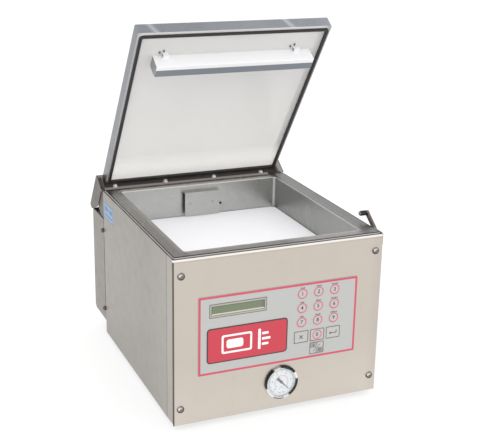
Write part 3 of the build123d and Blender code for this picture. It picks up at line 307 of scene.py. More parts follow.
def tub_tint(g, base):
    """Painted shade makes the flange top darker than the walls, darkest at the left and right; its
    inner half is lighter, a painted highlight.
    """
    x, y, z = g.position()
    top = g.both(g.facing(UP, over=(0.85, 0.95)), g.ramp(z, over=(0.325, 0.332)))
    # painted shade on the flange top, darkest at the left and right
    flange = g.mix(g.ramp(x, over=(-0.184, -0.176)), srgb(142, 139, 136), srgb(164, 160, 157))
    flange = g.mix(g.ramp(x, over=(0.172, 0.184)), flange, srgb(133, 132, 131))
    # painted highlight on the inner half of the flange
    inner = g.math("ADD", g.ramp(x, over=(-0.1922, -0.1914)), 0.0)
    inner = g.both(inner, g.ramp(x, over=(0.1922, 0.1914)))
    inner = g.both(inner, g.ramp(y, over=(FRONT_Y + 0.0246, FRONT_Y + 0.0254)))
    flange = g.shade(flange, inner, gain=1.22)
    base = g.mix(top, base, flange)
    # painted shade on the outermost strips of the flange
    outer_strip_shade = g.either(g.ramp(y, over=(FRONT_Y + 0.0106, FRONT_Y + 0.0099)),
                      g.ramp(g.math("ABSOLUTE", x), over=(0.2088, 0.2096)))
    base = g.shade(base, outer_strip_shade, gain=0.1)
    # painted shade on the side walls, which see the dark underside of the lid, the right one most
    base = g.shade(base, g.facing(LEFT, over=(0.6, 0.9)), gain=0.66)
    base = g.shade(base, g.facing(RIGHT, over=(0.6, 0.9)), gain=0.92)
    # painted highlight along the mouth rim
    return g.mix(g.both(mouth_rim(g, z), 0.9), base, srgb(226, 226, 223))


def tub_metal(g):
    """The edge round the mouth is made nearly non-metallic, except at the front, so its painted
    highlight shows.
    """
    _, y, z = g.position()
    rim_highlight = g.both(mouth_rim(g, z), g.ramp(y, over=(FRONT_Y + 0.012, FRONT_Y + 0.016)))
    return g.ramp(rim_highlight, over=(0.0, 1.0), to=(1.0, 0.15))


def lid_tint(g, base):
    """Soft streaks and two painted glints outside, painted shade on faces turned left, painted
    light on the underside with darker edges, painted shade on a strip along the hinge.
    """
    x, y, z = g.position()
    # painted glints on the face of the free edge
    end = g.facing(LID_ALONG, over=(0.8, 0.95))
    slant = g.math("ADD", x, g.math("MULTIPLY", y, 0.6))
    glints = g.either(g.band(slant, over=(-0.170, -0.160), soft=0.004),
                      g.band(slant, over=(0.112, 0.122), soft=0.004))
    base = g.shade(base, g.both(end, glints), gain=1.6)
    wide = g.noise(scale=1.6, detail=2.0, rough=0.4, stretch=(5, 0.5, 0.5))
    base = g.shade(base, g.ramp(wide, over=(0.4, 0.62)), gain=1.16)
    # painted shade on faces turned left
    base = g.shade(base, g.facing(LEFT, over=(0.7, 0.95)), gain=0.40)
    # painted light on the underside, darker at its left and right edges
    under = g.facing(LID_UNDER, over=(0.9, 0.98))
    pale = g.mix(g.ramp(x, over=(-0.192, -0.202)), srgb(222, 222, 220), srgb(186, 187, 189))
    pale = g.mix(g.ramp(x, over=(0.185, 0.199)), pale, srgb(164, 164, 167))
    base = g.mix(under, base, g.shade(pale, under, gain=1.0))
    # painted shade on the strip along the hinge, darkest at its top
    low = g.both(under, g.ramp(z, over=(0.352, 0.344)))
    hinge_strip_shade = g.mix(g.ramp(z, over=(0.3395, 0.3305)), srgb(88, 80, 79), srgb(136, 129, 125))
    return g.mix(low, base, hinge_strip_shade)


def lid_metal(g):
    """Bare sheet outside; the underside is made nearly non-metallic, so its painted light and
    shade show.
    """
    under = g.facing(LID_UNDER, over=(0.9, 0.98))
    return g.ramp(under, over=(0.0, 1.0), to=(1.0, 0.12))


def inward(g):
    """1 on faces turned towards the middle of the machine."""
    x, _, _ = g.position()
    outward = g.math("MULTIPLY", g.toward(RIGHT), g.math("SIGN", x))
    return g.ramp(outward, over=(-0.5, -0.9))


def cheek_tint(g, base):
    """Inward faces are lighter, as the lid throws light on them."""
    return g.mix(inward(g), base, srgb(176, 170, 164))


def dome_tint(g, base):
    """Painted reflection on the polished heads: a light patch from above and dark all round."""
    lit = g.toward((-0.42, -0.52, 0.74))
    base = g.mix(g.ramp(lit, over=(0.42, 0.62)), srgb(92, 82, 74), base)
    return g.mix(g.ramp(lit, over=(0.72, 0.84)), base, srgb(250, 250, 248))


def bar_tint(g, base):
    """The left end of the bar is in shade."""
    return g.mix(g.facing(LEFT, over=(0.7, 0.95)), base, srgb(140, 143, 141))


# ------------------------------------------------------------------ metals
# noise scale per axis: the streaks run along the axis with the small number
ALONG_X, ALONG_Y, ALONG_Z = (1.0, 60, 60), (60, 1.0, 60), (60, 60, 1.0)
EVEN_BROAD, EVEN, EVEN_FINE = (2, 2, 2), (4, 4, 4), (8, 8, 8)

dress(steel("front_sheet", (199, 191, 181), ALONG_Z, rough=0.34, grain=0.02, cloud=0.012,
            relief=0.05, tint=front_tint, metal=front_metal), "front_panel")
dress(steel("side_sheet", (166, 162, 155), ALONG_Z, rough=0.36, grain=0.02, cloud=0.02,
            relief=0.05, tint=side_tint), "side_panel_left", "side_panel_right")
dress(steel("cover_sheet", (143, 139, 134), ALONG_Z, rough=0.38, grain=0.03, cloud=0.04),
      "rear_cover")
dress(steel("chamber_sheet", (192, 192, 189), ALONG_X, rough=0.3, cloud=0.04,
            tint=tub_tint, metal=tub_metal), "chamber_tub", "suction_baffle")
dress(steel("lid_sheet", (192, 196, 202), (0.6, 12, 12), rough=0.3, grain=0.006, cloud=0.02,
            relief=0.004, tint=lid_tint, metal=lid_metal), "lid_frame")


def hinge_sheet():
    """Dark sheet with a faint glow where the lid throws light on it."""
    g = steel("hinge_sheet", (88, 82, 77), ALONG_Y, rough=0.36, grain=0.04, metal=0.55,
              tint=cheek_tint)
    inward_glow = g.both(inward(g), 0.42)
    under_glow = g.both(g.facing(LID_UNDER, over=(0.9, 0.98)), 0.36)
    g.surface({"Emission Color": (0.60, 0.55, 0.52, 1),
               "Emission Strength": g.either(inward_glow, under_glow)})
    return g


dress(hinge_sheet(), "hinge_bracket")
dress(steel("zinc_sheet", (165, 168, 170), EVEN_BROAD, rough=0.42, grain=0.1, cloud=0.12,
            cloud_scale=60.0), "base_pan", "rear_panel", "torsion_springs")
# painted shade: the hinge arms and blocks get a dark sheet colour for the shade they sit in
dress(steel("guard_sheet", (104, 98, 94), ALONG_Y, rough=0.4, grain=0.06, cloud=0.08,
            metal=0.6), "hinge_arms", "hinge_blocks")
dress(steel("polished_steel", (205, 205, 205), EVEN, rough=0.12, grain=0.02, cloud=0.03,
            relief=0.02), "hinge_shaft", "seal_bar_pistons")
dress(steel("screw_steel", (150, 146, 141), EVEN_FINE, rough=0.16, grain=0.04, relief=0.04,
            tint=dome_tint), "front_panel_screws", "latch_pivot_bolt")
dress(steel("screw_dull", (112, 100, 92), EVEN_FINE, rough=0.4, grain=0.08, cloud=0.1,
            relief=0.05, metal=0.6), "rear_cover_screws")
dress(steel("latch_steel", (150, 142, 138), EVEN_BROAD, rough=0.3, grain=0.02, cloud=0.06,
            relief=0.005), "latch_arm")
# painted highlight: the lid bolts are near-white and barely metallic, to show as bright dots
dress(steel("nut_steel", (252, 252, 252), EVEN_FINE, rough=0.3, metal=0.1, grain=0.04,
            relief=0.04), "lid_bolts")
dress(steel("aluminium", (190, 190, 190), (1.0, 50, 50), rough=0.4),
      "seal_lift_cylinders", "seal_bar", "valve_block")
dress(steel("laminations", (92, 84, 76), (60, 1, 1), rough=0.5, grain=0.2, cloud=0.1,
            metal=0.7), "seal_transformer")

# ------------------------------------------------------------------ plastics, paints and inks
# material, 8-bit colour, roughness, grain, grain scale, relief, blotch, CAD pieces that wear it
PLASTICS = (
    ("filler_plastic", (218, 218, 221), 0.5, 0.005, 400, 0.04, 0.008, "filler_plates"),
    ("bar_plastic", (240, 240, 242), 0.38, 0.01, 300, 0.06, 0.02, "counter_bar"),
    ("silicone_strip", (124, 129, 137), 0.5, 0.03, 500, 0.12, 0.1, "counter_bar_silicone"),
    ("black_rubber", (46, 41, 43), 0.62, 0.15, 600, 0.3, 0.2,
     "lid_gasket rubber_feet vacuum_hoses"),
    ("black_plastic", (30, 30, 32), 0.4, 0.1, 500, 0.2, 0.1,
     "latch_grip gauge_case lid_switch power_inlet motor_fan"),
    ("keypad_film", (182, 182, 180), 0.42, 0.01, 350, 0.05, 0.015, "control_overlay"),
    ("key_film", (185, 183, 181), 0.42, 0.01, 350, 0.05, 0.015,
     " ".join(f"key_{i}" for i in range(10)) + " key_cancel key_confirm key_power"),
    ("red_ink", (202, 80, 100), 0.45, 0.03, 500, 0.04, 0.04, ""),
    ("pink_ink", (214, 98, 120), 0.45, 0.03, 500, 0.04, 0.04, ""),
    ("grey_ink", (92, 90, 92), 0.5, 0.03, 500, 0.04, 0.05, ""),
    ("dark_ink", (52, 52, 56), 0.5, 0.03, 500, 0.04, 0.05, ""),
    ("badge_red", (196, 50, 68), 0.36, 0.02, 400, 0.04, 0.05, ""),
    ("badge_white", (244, 242, 240), 0.35, 0.01, 400, 0.04, 0.02, ""),
    ("circuit_board", (28, 92, 52), 0.4, 0.25, 300, 0.4, 0.3, "control_board"),
    ("dial_paint", (236, 238, 238), 0.4, 0.01, 500, 0.03, 0.01, "gauge_dial"),
    ("dial_red", (226, 160, 172), 0.45, 0.02, 500, 0.03, 0.02, ""),
    ("dial_ink", (140, 142, 150), 0.45, 0.02, 500, 0.03, 0.02, ""),
    ("needle_paint", (38, 38, 42), 0.35, 0.05, 500, 0.05, 0.05, "gauge_needle"),
    ("pump_paint", (96, 100, 104), 0.42, 0.12, 160, 0.5, 0.2, "vacuum_pump"),
    ("motor_paint", (74, 92, 118), 0.38, 0.08, 200, 0.3, 0.15, "pump_motor"),
    ("filter_paint", (128, 130, 132), 0.36, 0.06, 200, 0.25, 0.12, "oil_filter"),
    ("seal_tape", (158, 124, 84), 0.5, 0.12, 700, 0.5, 0.1, "seal_bar_element"),
    ("side_label", (142, 162, 186), 0.35, 0.02, 300, 0.04, 0.04, ""),
    ("display_frame", (168, 168, 158), 0.35, 0.04, 400, 0.08, 0.05, "display_window"),
    ("display_glass", (108, 120, 93), 0.22, 0.03, 300, 0.02, 0.05, ""),
    ("display_end", (112, 108, 100), 0.35, 0.04, 400, 0.08, 0.05, ""),
    ("tile_ink", (150, 148, 148), 0.5, 0.03, 500, 0.04, 0.05, ""),
    ("display_outline", (84, 80, 76), 0.45, 0.04, 400, 0.05, 0.05, ""),
    ("display_band", (206, 200, 182), 0.4, 0.02, 400, 0.04, 0.05, ""),
    ("badge_edge", (60, 50, 54), 0.4, 0.03, 400, 0.04, 0.05, ""),
    ("label_line", (78, 122, 168), 0.35, 0.02, 300, 0.04, 0.04, ""),
    ("bar_screw", (96, 92, 90), 0.3, 0.1, 400, 0.1, 0.2, ""),
)
PLASTIC_EXTRAS = {
    # painted light: the filler plates glow faintly, lifting their shaded parts
    "filler_plastic": dict(specular=0.3, glow=0.39),
    "bar_plastic": dict(tint=bar_tint),
    "silicone_strip": dict(tint=bar_tint),
    "badge_red": dict(coat=0.3),
    "display_glass": dict(coat=0.4),
}
for name, *look, pieces in PLASTICS:
    dress(plastic(name, *look, **PLASTIC_EXTRAS.get(name, {})), *pieces.split())


# ------------------------------------------------------------------ clear parts and gauge ring
def turned_ring():
    """Turned ring with painted reflections: bright and dark bands that follow the angle round its
    centre.
    """
    dark, bright = 0.03, 0.92
    # turn fractions from -X: dark until, bright from, bright until, dark from
    glints = ((0.03, 0.05, 0.15, 0.17), (0.255, 0.275, 0.32, 0.34),
              (0.515, 0.535, 0.59, 0.605), (0.76, 0.78, 0.83, 0.845))
    stops = [(0.0, (dark,) * 3)]
    for glint in glints:
        for place, value in zip(glint, (dark, bright, bright, dark)):
            stops.append((place, (value, value, value * 0.99)))
    stops.append((1.0, (dark,) * 3))

    low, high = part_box("gauge_bezel")
    g = Shader("gauge_ring")
    x, _, z = g.split(g.node("NewGeometry").outputs["Position"])
    x = g.math("SUBTRACT", x, (low.x + high.x) / 2)
    z = g.math("SUBTRACT", z, (low.z + high.z) / 2)
    turn = g.ramp(g.math("ARCTAN2", z, x), over=(-math.pi, math.pi))
    reflections = g.colour_ramp(turn, stops)
    grain = g.noise(scale=120.0, detail=4.0, rough=0.6)
    radius = g.math("SQRT", g.math("ADD", g.math("MULTIPLY", x, x), g.math("MULTIPLY", z, z)))
    # the inner lip on the left stays plain
    turned = g.either(g.ramp(radius, over=(0.0316, 0.0322)), g.ramp(x, over=(0.0, 0.008)))
    colour = g.mix(turned, (0.75, 0.75, 0.75, 1), reflections)
    colour = g.mix(g.ramp(grain, to=(0.0, 0.1)), colour, (0.3, 0.3, 0.3, 1))
    g.surface({"Base Color": colour, "Metallic": 1.0,
               "Roughness": g.ramp(grain, to=(0.16, 0.24))})
    g.bump(grain, strength=0.04, distance=0.0002)
    return g


def clear_acrylic():
    """Clear sheet with fine wiping marks and a pale haze, denser at its lowest edge; painted light
    makes it paler lower down and makes the lowest edge glow.
    """
    g = Shader("clear_acrylic")
    haze = g.noise(scale=7.0, detail=4.0, rough=0.5, distortion=0.4)
    scratches = g.noise(scale=4.0, detail=5.0, rough=0.6, stretch=(300, 8, 8))
    _, _, z = g.position()
    low = g.ramp(z, over=(0.62, 0.34))
    colour = g.mix(g.ramp(haze), srgb(227, 226, 224), srgb(223, 222, 220))
    # painted light, paler lower down
    colour = g.mix(g.ramp(z, over=(0.60, 0.44)), colour, srgb(241, 240, 237))
    g.bump(scratches, strength=0.03, distance=0.0002)
    solid = g.math("ADD", g.ramp(low, over=(0.0, 1.0), to=(0.66, 0.54)),
                   g.ramp(haze, to=(-0.02, 0.02)))
    edge = g.ramp(z, over=(0.41, 0.37))
    solid = g.either(solid, g.math("MULTIPLY", edge, 0.36))
    # painted light: the lowest edge glows
    g.surface({"Base Color": colour, "Roughness": g.ramp(scratches, to=(0.1, 0.2)),
               "Emission Color": (0.95, 0.95, 0.93, 1),
               "Emission Strength": g.math("MULTIPLY", edge, 0.27)})
    g.see_through(tint=(0.937, 0.932, 0.927, 1), solid=solid)
    return g


def gauge_window():
    g = Shader("gauge_window")
    smears = g.noise(scale=60.0, detail=3.0, rough=0.5)
    g.surface({"Base Color": (0.9, 0.93, 0.95, 1), "Roughness": g.ramp(smears, to=(0.02, 0.07))})
    g.see_through(tint=(0.97, 0.98, 0.985, 1), solid=0.1)
    return g


dress(turned_ring(), "gauge_bezel")
dress(clear_acrylic(), "lid_plate")
dress(gauge_window(), "gauge_lens")


# ------------------------------------------------------------------ outlines, in millimetres
def rect(x, z, width, height):
    right, top = width / 2, height / 2
    return [(x - right, z - top), (x + right, z - top), (x + right, z + top), (x - right, z + top)]


def rounded(x, z, width, height, radius, steps=6):
    """Rectangle with rounded corners, each of `steps` chords."""
    points = []
    for side_x, side_z, start in ((1, -1, -90), (1, 1, 0), (-1, 1, 90), (-1, -1, 180)):
        for i in range(steps + 1):
            angle = math.radians(start + 90.0 * i / steps)
            points.append((x + side_x * (width / 2 - radius) + radius * math.cos(angle),
                           z + side_z * (height / 2 - radius) + radius * math.sin(angle)))
    return points


def polar(radius, degrees):
    angle = math.radians(degrees)
    return radius * math.cos(angle), radius * math.sin(angle)


def circle(radius, x=0.0, z=0.0, steps=48):
    arms = [polar(radius, 360.0 * i / steps) for i in range(steps)]
    return [(x + arm_x, z + arm_z) for arm_x, arm_z in arms]


# ------------------------------------------------------------------ meshes
def mesh_object(name, verts, faces, material, body, smooth=False):
    """Adds a mesh that moves with `body`."""
    mesh = bpy.data.meshes.new(name)
    mesh.from_pydata(verts, [], faces)
    mesh.update()
    piece = bpy.data.objects.new(name, mesh)
    bpy.context.scene.collection.objects.link(piece)
    mesh.materials.append(MATERIALS[material])
    if smooth:
        for polygon in mesh.polygons:
            polygon.use_smooth = True
    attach(piece, body)


def slabs(name, outlines, base, material, at=(0.0, 0.0), body="casing", thick=INK, on_side=False):
    """Thin slabs standing out from the plane `base`.

    Outlines are (x, z) facing -Y or, with on_side, (y, z) facing -X, in mm round `at`."""
    verts, faces = [], []
    for outline in outlines:
        outline = [(at[0] + a * MM, at[1] + b * MM) for a, b in outline]
        count = len(outline)
        area = sum(a * d - c * b for (a, b), (c, d) in zip(outline, outline[1:] + outline[:1]))
        if (area > 0) == on_side:
            outline.reverse()
        first = len(verts)
        for depth in (base - thick, base):
            verts += [(depth, a, b) if on_side else (a, depth, b) for a, b in outline]
        faces.append(tuple(range(first, first + count)))
        faces.append(tuple(reversed(range(first + count, first + 2 * count))))
        for i in range(count):
            j = (i + 1) % count
            faces.append((first + i, first + count + i, first + count + j, first + j))
    mesh_object(name, verts, faces, MATERIAL_OR_NAME(material), body)


def MATERIAL_OR_NAME(material):
    return material


def ring(name, outer, inner, base, material, at, body="casing", thick=INK):
    """Flat ring facing -Y between two outlines (mm round `at`) with equal point counts."""
    n = len(outer)
    verts = [(at[0] + x * MM, depth, at[1] + z * MM)
             for depth in (base - thick, base) for x, z in outer + inner]
    faces = []
    for i in range(n):
        j = (i + 1) % n
        faces.append((i, j, n + j, n + i))
        faces.append((i, 2 * n + i, 2 * n + j, j))
        faces.append((n + i, n + j, 3 * n + j, 3 * n + i))
        faces.append((2 * n + i, 3 * n + i, 3 * n + j, 2 * n + j))
    mesh_object(name, verts, faces, material, body)


def lettering(name, text, size, at, base, material, body, bold):
    """Raised text facing -Y, centred on `at`; size and bold in mm."""
    curve = bpy.data.curves.new(name + "_c", "FONT")
    curve.body = text
    curve.size = size * MM
    curve.align_x = "CENTER"
    curve.align_y = "CENTER"
    curve.extrude = INK / 2
    curve.offset = bold * MM
    temporary = bpy.data.objects.new(name + "_t", curve)
    bpy.context.scene.collection.objects.link(temporary)
    bpy.context.view_layer.update()
    mesh = bpy.data.meshes.new_from_object(temporary)
    bpy.data.objects.remove(temporary)
    mesh.name = name
    # text lies in XY facing +Z: turn it to stand in XZ facing -Y
    mesh.transform(Matrix.Translation((at[0], base - INK / 2, at[1]))
                   @ Matrix.Rotation(math.radians(90), 4, "X"))
    mesh.materials.clear()
    mesh.materials.append(MATERIALS[material])
    piece = bpy.data.objects.new(name, mesh)
    bpy.context.scene.collection.objects.link(piece)
    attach(piece, body)


def front_face(name):
    """Centre (x, z) in metres, width and height in mm, and y of a piece's front."""
    low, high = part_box(name)
    centre = ((low.x + high.x) / 2, (low.z + high.z) / 2)
    return centre, (high.x - low.x) / MM, (high.z - low.z) / MM, low.y


# ------------------------------------------------------------------ control overlay and keys
OVERLAY_AT, OVERLAY_W, OVERLAY_H, OVERLAY_Y = front_face("control_overlay")

# heights of the row of small marks above each digit key, left to right, in mm
MARK_HEIGHTS = (
    (2.6, 1.9, 2.8, 2.0), (2.8, 2.0, 2.4), (2.0, 2.9, 2.2, 2.8), (2.6, 2.1, 2.1, 2.7, 2.0),
    (2.7, 2.1, 2.6), (2.2, 2.8, 2.0, 2.2), (2.8, 2.2, 2.0, 2.7, 2.2), (2.1, 2.8, 2.2),
    (2.7, 2.0, 2.2, 2.8), (2.2, 2.6, 2.8, 2.0, 2.4))
MARK_PITCH, MARK_W = 2.9, 2.1
MARK_RISE, MARK_RISE_ZERO = 10.6, 9.2  # foot of the marks above the key centre


def border():
    ring("overlay_border", rounded(0, 0, OVERLAY_W - 0.2, OVERLAY_H - 0.2, radius=2.0),
         rounded(0, 0, OVERLAY_W - 8.6, OVERLAY_H - 8.6, radius=1.0),
         OVERLAY_Y, "red_ink", OVERLAY_AT)


def digit_keys():
    marks = []
    for i, heights in enumerate(MARK_HEIGHTS):
        key = f"key_{i}"
        at, _, _, y = front_face(key)
        ring(f"key_ring_{i}", circle(radius=9.9), circle(radius=7.9), y, "pink_ink", at, key)
        lettering(f"key_digit_{i}", str(i), 10.6, at, y, "dark_ink", key, bold=0.16)
        x = at[0] / MM - MARK_PITCH * (len(heights) - 1) / 2
        foot = at[1] / MM + (MARK_RISE if i else MARK_RISE_ZERO)
        for height in heights:
            marks.append(rect(x, foot + height / 2, MARK_W, height))
            x += MARK_PITCH
    slabs("key_marks", marks, OVERLAY_Y, "grey_ink")


def framed_key(label):
    """Prints a square frame near the key's edge."""
    key = f"key_{label}"
    at, width, height, y = front_face(key)
    ring(f"key_frame_{label}", rounded(0, 0, width - 0.8, height - 0.8, radius=1.2, steps=3),
         rounded(0, 0, width - 3.2, height - 3.2, radius=0.6, steps=3), y, "grey_ink", at, key)
    return key, at, width, height, y


def cancel_key():
    """A cross of two bars, the second lying over the first."""
    half_length, half_width = 5.0, 0.9
    key, at, _, _, y = framed_key("cancel")
    for name, degrees, lift in (("key_cancel_cross", 45, 0.0), ("key_cancel_cross_b", -45, 0.5)):
        along = Vector(polar(half_length, degrees))
        across = Vector(polar(half_width, degrees + 90))
        bar = [along + across, across - along, -along - across, along - across]
        slabs(name, [bar], y - INK * lift, "grey_ink", at, key)


def confirm_key():
    """A return arrow: shaft, upturned tail and head."""
    key, at, _, _, y = framed_key("confirm")
    shapes = [rect(1.5, -1.5, 13, 1.7), rect(7.2, 1.6, 1.7, 4.4),
              [(-8.5, -1.5), (-4.6, -4.8), (-4.6, 1.8)]]
    slabs("key_confirm_arrow", shapes, y, "grey_ink", at, key)


def power_key():
    """A split tile with a bar in one half and a ring in the other."""
    key, at, width, height, y = framed_key("power")
    right, top = width / 2 - 1.7, height / 2 - 1.7
    upper = [(-right, top), (-right, 0.2), (-1.5, 0.2), (3.5, top)]
    lower = [(-x, -z) for x, z in upper]
    slabs("key_power_tile", [upper, lower], y, "tile_ink", at, key)
    over_tile = y - INK * 1.2
    slash = [(-8.2, -6.6), (-7.2, -7.2), (8.2, 6.6), (7.2, 7.2)]
    slabs("key_power_slash", [slash], over_tile, "grey_ink", at, key)
    mark_x, mark_z = 6.5, 5.2
    slabs("key_power_bar", [rect(-mark_x, mark_z, 1.4, 5.6)], over_tile, "dark_ink", at, key)
    ring("key_power_ring", circle(3.0, mark_x, -mark_z, steps=24),
         circle(1.9, mark_x, -mark_z, steps=24), over_tile, "dark_ink", at, key)


border()
digit_keys()
framed_key("0")
cancel_key()
confirm_key()
power_key()


# ------------------------------------------------------------------ display
def display():
    """Glass pane, darker end cap on its right and a pale band below, inside two outlines."""
    pane_w, pane_h, pane_z = 100.4, 14.2, 1.3
    end_w, band_h = 5.2, 2.8
    line_w, line_h, line_thick = 107.4, 18.8, 0.8
    at, width, height, y = front_face("display_window")
    ring("display_outline", rounded(0, 0, width - 0.2, height - 0.2, radius=1.0, steps=3),
         rounded(0, 0, width - 2.2, height - 2.2, radius=0.5, steps=3), y, "display_outline", at)
    ring("display_inner_line", rounded(0, 0, line_w, line_h, radius=0.6, steps=3),
         rounded(0, 0, line_w - 2 * line_thick, line_h - 2 * line_thick, radius=0.3, steps=3),
         y, "display_outline", at)
    for name, shape, material in (
            ("display_glass_pane", rect(-end_w / 2, pane_z, pane_w, pane_h), "display_glass"),
            ("display_lower_band", rect(0, pane_z - (pane_h + band_h) / 2,
                                        pane_w + end_w, band_h), "display_band"),
            ("display_end_cap", rect(pane_w / 2, pane_z, end_w, pane_h), "display_end")):
        slabs(name, [shape], y + 0.48 * MM, material, at, thick=0.1 * MM)


display()


# ------------------------------------------------------------------ badge
def badge():
    """Red tile with a pictogram of a bag beside a row of bars."""
    at = (-67.5 * MM, 153.5 * MM)
    width, height, edge = 165, 71, 2.3
    base_thick, tile_thick, print_thick = 0.5 * MM, 0.12 * MM, 0.08 * MM
    slabs("badge_base", [rounded(0, 0, width, height, radius=7)], OVERLAY_Y, "badge_edge", at,
          thick=base_thick)
    slabs("badge_tile", [rounded(0, 0, width - 2 * edge, height - 2 * edge, radius=5)],
          OVERLAY_Y - base_thick, "badge_red", at, thick=tile_thick)
    y = OVERLAY_Y - base_thick - tile_thick
    ring("badge_bag", rounded(-22, 0, 62, 38, radius=4), rounded(-22, 0, 54, 30, radius=2.5),
         y, "badge_white", at, thick=print_thick)
    slabs("badge_bag_fill", [rounded(-26, 0, 34, 18, radius=5)], y, "badge_white", at,
          thick=print_thick)
    # x, z, width, height
    bars = ((24, 0, 5.5, 42), (36, 11, 14, 5), (38, 0, 18, 5), (36, -11, 14, 5))
    slabs("badge_bars", [rounded(*bar, radius=2) for bar in bars], y, "badge_white", at,
          thick=print_thick)


badge()

# ------------------------------------------------------------------ gauge dial
SCALE_START, SCALE_SWEEP = -45, 270  # degrees, anticlockwise from +X seen from the front
SCALE_R, RED_R = 26.6, 13.6  # where the ticks of each scale meet its arc


def tick(degrees, inner, outer, half_width):
    angle = math.radians(degrees)
    c, s = math.cos(angle), math.sin(angle)
    return [(c * radius - s * side, s * radius + c * side)
            for radius, side in ((inner, half_width), (inner, -half_width),
                                 (outer, -half_width), (outer, half_width))]


def arc(inner, outer, steps=48):
    """Band along the whole scale."""
    turns = [SCALE_START + SCALE_SWEEP * i / steps for i in range(steps + 1)]
    return [polar(outer, turn) for turn in turns] + [polar(inner, turn) for turn in turns[::-1]]


def gauge():
    at, _, _, y = front_face("gauge_dial")
    divisions, per_major = 50, 5
    ticks = []
    for i in range(divisions + 1):
        inner, half_width = (22.6, 0.45) if i % per_major == 0 else (24.6, 0.22)
        ticks.append(tick(SCALE_START + SCALE_SWEEP * i / divisions, inner, SCALE_R, half_width))
    slabs("gauge_ticks", ticks, y, "dial_ink", at)
    slabs("gauge_arc", [arc(SCALE_R, SCALE_R + 0.5)], y, "dial_ink", at)
    slabs("gauge_red_arc", [arc(RED_R, RED_R + 1.2)], y, "dial_red", at)
    red_divisions = 27
    red_ticks = [tick(SCALE_START + SCALE_SWEEP * i / red_divisions, 11.8, RED_R, half_width=0.25)
                 for i in range(red_divisions + 1)]
    slabs("gauge_red_ticks", red_ticks, y, "dial_red", at)
    for i in range(6):
        x, z = polar(19.4, SCALE_START + SCALE_SWEEP * i / 5)
        lettering(f"gauge_number_{i}", str(2 * i), 5.2, (at[0] + x * MM, at[1] + z * MM), y,
                  "dial_ink", "casing", bold=0.1)
    # two dashes at the foot, and two slanting strokes that meet above them
    foot_marks = [
        rect(-3.4, -22.0, 5.5, 1.2), rect(3.6, -22.0, 5.0, 1.2),
        [(-5, -14), (-4, -14), (0.5, -8.5), (-0.5, -8.5)],
        [(5, -14), (4, -14), (-0.5, -9.3), (0.5, -9.3)]]
    slabs("gauge_foot_marks", foot_marks, y, "dial_ink", at)


gauge()


# ------------------------------------------------------------------ side label
def side_label():
    """Label high up near the rear of the left side; outlines are (y, z)."""
    low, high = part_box("side_panel_left")
    at = (high.y - 40.5 * MM, 294 * MM)
    sheet_thick, line_thick = 0.12 * MM, 0.04 * MM
    stroke, line_y, line_z = 2.6, 31.9, 16.4  # width of the frame lines, and their places
    slabs("side_label_sheet", [rounded(0, 0, 69, 36, radius=2)], low.x, "side_label", at,
          thick=sheet_thick, on_side=True)
    lines = [rect(0, z, 66, stroke) for z in (line_z, -line_z)]
    lines += [rect(y, 0, stroke, 30.2) for y in (-line_y, line_y)]
    motif = [rounded(y, 5.5, 24, 11, radius=2) for y in (-15.5, 15.5)] + [rect(0, -8.4, 55, 5.4)]
    for name, shapes in (("side_label_frame", lines), ("side_label_motif", motif)):
        slabs(name, shapes, low.x - sheet_thick, "label_line", at, thick=line_thick, on_side=True)


side_label()


# ------------------------------------------------------------------ counter bar screws
def bar_screws():
    """Two domed screws at each end of the counter bar, heads out of the lid's underside."""
    # x across, distance along the lid from its rear edge, in mm
    places = ((-150.8, 402.8), (-142.9, 406.7), (125.7, 403.2), (133.7, 407.7))
    # radius, height above the underside, in mm
    profile = ((2.3, 0.05), (2.3, 0.9), (1.9, 1.7), (1.0, 2.2))
    sides = 16
    verts, faces = [], []
    for x, along in places:
        first = len(verts)
        for radius, height in profile:
            for i in range(sides):
                arm_x, arm_along = polar(radius, 360 * i / sides)
                verts.append(LID_ORIGIN + LID_ALONG * ((along + arm_along) * MM)
                             + LID_UNDER * (height * MM) + Vector(((x + arm_x) * MM, 0, 0)))
        for row in range(len(profile) - 1):
            here, above = first + sides * row, first + sides * (row + 1)
            for i in range(sides):
                j = (i + 1) % sides
                faces.append((here + i, here + j, above + j, above + i))
        top = first + sides * (len(profile) - 1)
        faces.append(tuple(range(top, top + sides)))
        faces.append(tuple(reversed(range(first, first + sides))))
    mesh_object("counter_bar_screws", verts, faces, "bar_screw", "lid", smooth=True)


bar_screws()


# ------------------------------------------------------------------ floor
def floor_paper():
    g = Shader("floor_paper")
    mottle = g.noise(scale=3.0, detail=4.0, rough=0.5)
    g.surface({"Base Color": g.mix(mottle, srgb(150, 150, 150), srgb(156, 156, 156)),
               "Roughness": 0.9,
               "Emission Color": (1, 1, 1, 1), "Emission Strength": 0.69})
    return g.material


def lay_floor():
    half = 14.0
    feet_low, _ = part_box("rubber_feet")
    corners = ((-half, -half), (half, -half), (half, half), (-half, half))
    mesh = bpy.data.meshes.new("floor")
    mesh.from_pydata([(x, y, feet_low.z) for x, y in corners], [], [(0, 1, 2, 3)])
    mesh.materials.append(floor_paper())
    floor = bpy.data.objects.new("floor", mesh)
    bpy.context.scene.collection.objects.link(floor)


lay_floor()


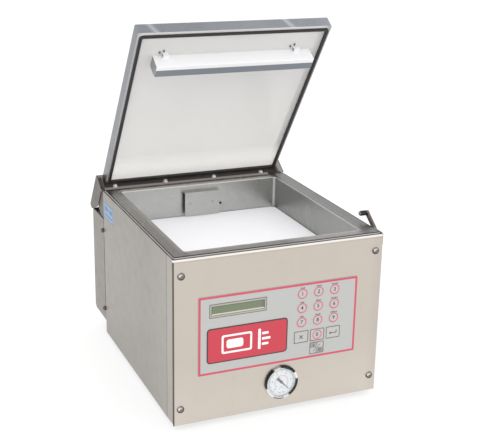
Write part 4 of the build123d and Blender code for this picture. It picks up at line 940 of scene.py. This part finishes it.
# ------------------------------------------------------------------ world
def studio():
    """White to the camera, even to diffuse rays, graded with height to glossy rays."""
    world = bpy.data.worlds.new("studio")
    bpy.context.scene.world = world
    world.use_nodes = True
    g = Graph(world.node_tree)
    output = g.node("OutputWorld")
    _, _, z = g.split(g.node("TexCoord").outputs["Generated"])
    # what polished sheet sees: pale near the horizon, darker overhead
    greys = [(place, (value,) * 3)
             for place, value in ((0.12, 0.82), (0.35, 0.9), (0.6, 0.86), (0.8, 0.6))]
    reflected = g.colour_ramp(
        z, [(0.0, (0.95, 0.95, 0.94)), *greys, (1.0, (0.42, 0.43, 0.45))])
    rays = g.node("LightPath").outputs
    diffuse_sky, backdrop = (1.08, 1.08, 1.08, 1), (1.0, 1.0, 1.0, 1)
    colour = g.mix(rays["Is Glossy Ray"], diffuse_sky, reflected)
    colour = g.mix(rays["Is Camera Ray"], colour, backdrop)
    background = g.node("Background", {"Color": colour, "Strength": 1.0})
    g.put(output.inputs[0], background.outputs[0])


studio()


# ------------------------------------------------------------------ lights
def area_light(name, place, size, energy, colour=(1, 1, 1)):
    """Square light aimed at the machine and hidden from reflections."""
    target = Vector((0, 0, 0.2))
    light = bpy.data.lights.new(name, "AREA")
    light.shape = "RECTANGLE"
    light.size = light.size_y = size
    light.energy = energy
    light.color = colour
    lamp = bpy.data.objects.new(name, light)
    bpy.context.scene.collection.objects.link(lamp)
    lamp.location = place
    lamp.rotation_euler = (target - Vector(place)).to_track_quat("-Z", "Y").to_euler()
    lamp.visible_glossy = False


area_light("key_light", place=(-1.1, -2.4, 2.6), size=1.8, energy=20, colour=(1.0, 0.985, 0.96))
area_light("fill_light", place=(2.4, -1.2, 1.8), size=1.6, energy=6, colour=(1.0, 0.99, 0.98))
area_light("top_light", place=(0.2, 0.3, 3.0), size=2.2, energy=12)

# ------------------------------------------------------------------ view and camera
scene = bpy.context.scene
scene.view_settings.view_transform = "Standard"
scene.view_settings.look = "None"
scene.view_settings.exposure = 0.0
scene.view_settings.gamma = 1.0


def add_camera(place, lens, azimuth, drop, roll):
    """Looks `azimuth` degrees from +Y towards +X, `drop` below level, rolled by `roll`."""
    azimuth, drop, roll = (math.radians(angle) for angle in (azimuth, drop, roll))
    camera = bpy.data.cameras.new("cam")
    camera.lens = lens
    camera.sensor_width = 36.0
    camera.clip_end = 100
    piece = bpy.data.objects.new("cam", camera)
    scene.collection.objects.link(piece)
    forward = Vector((math.sin(azimuth) * math.cos(drop), math.cos(azimuth) * math.cos(drop),
                      -math.sin(drop)))
    level = Vector((math.cos(azimuth), -math.sin(azimuth), 0))
    upright = level.cross(forward)
    right = level * math.cos(roll) + upright * math.sin(roll)
    up = -level * math.sin(roll) + upright * math.cos(roll)
    turn = Matrix((right, up, -forward)).transposed().to_4x4()
    piece.matrix_world = Matrix.Translation(place) @ turn
    scene.camera = piece


add_camera(place=(-0.78607, -1.8779, 0.98506), lens=75.27, azimuth=23.554, drop=18.424, roll=1.183)
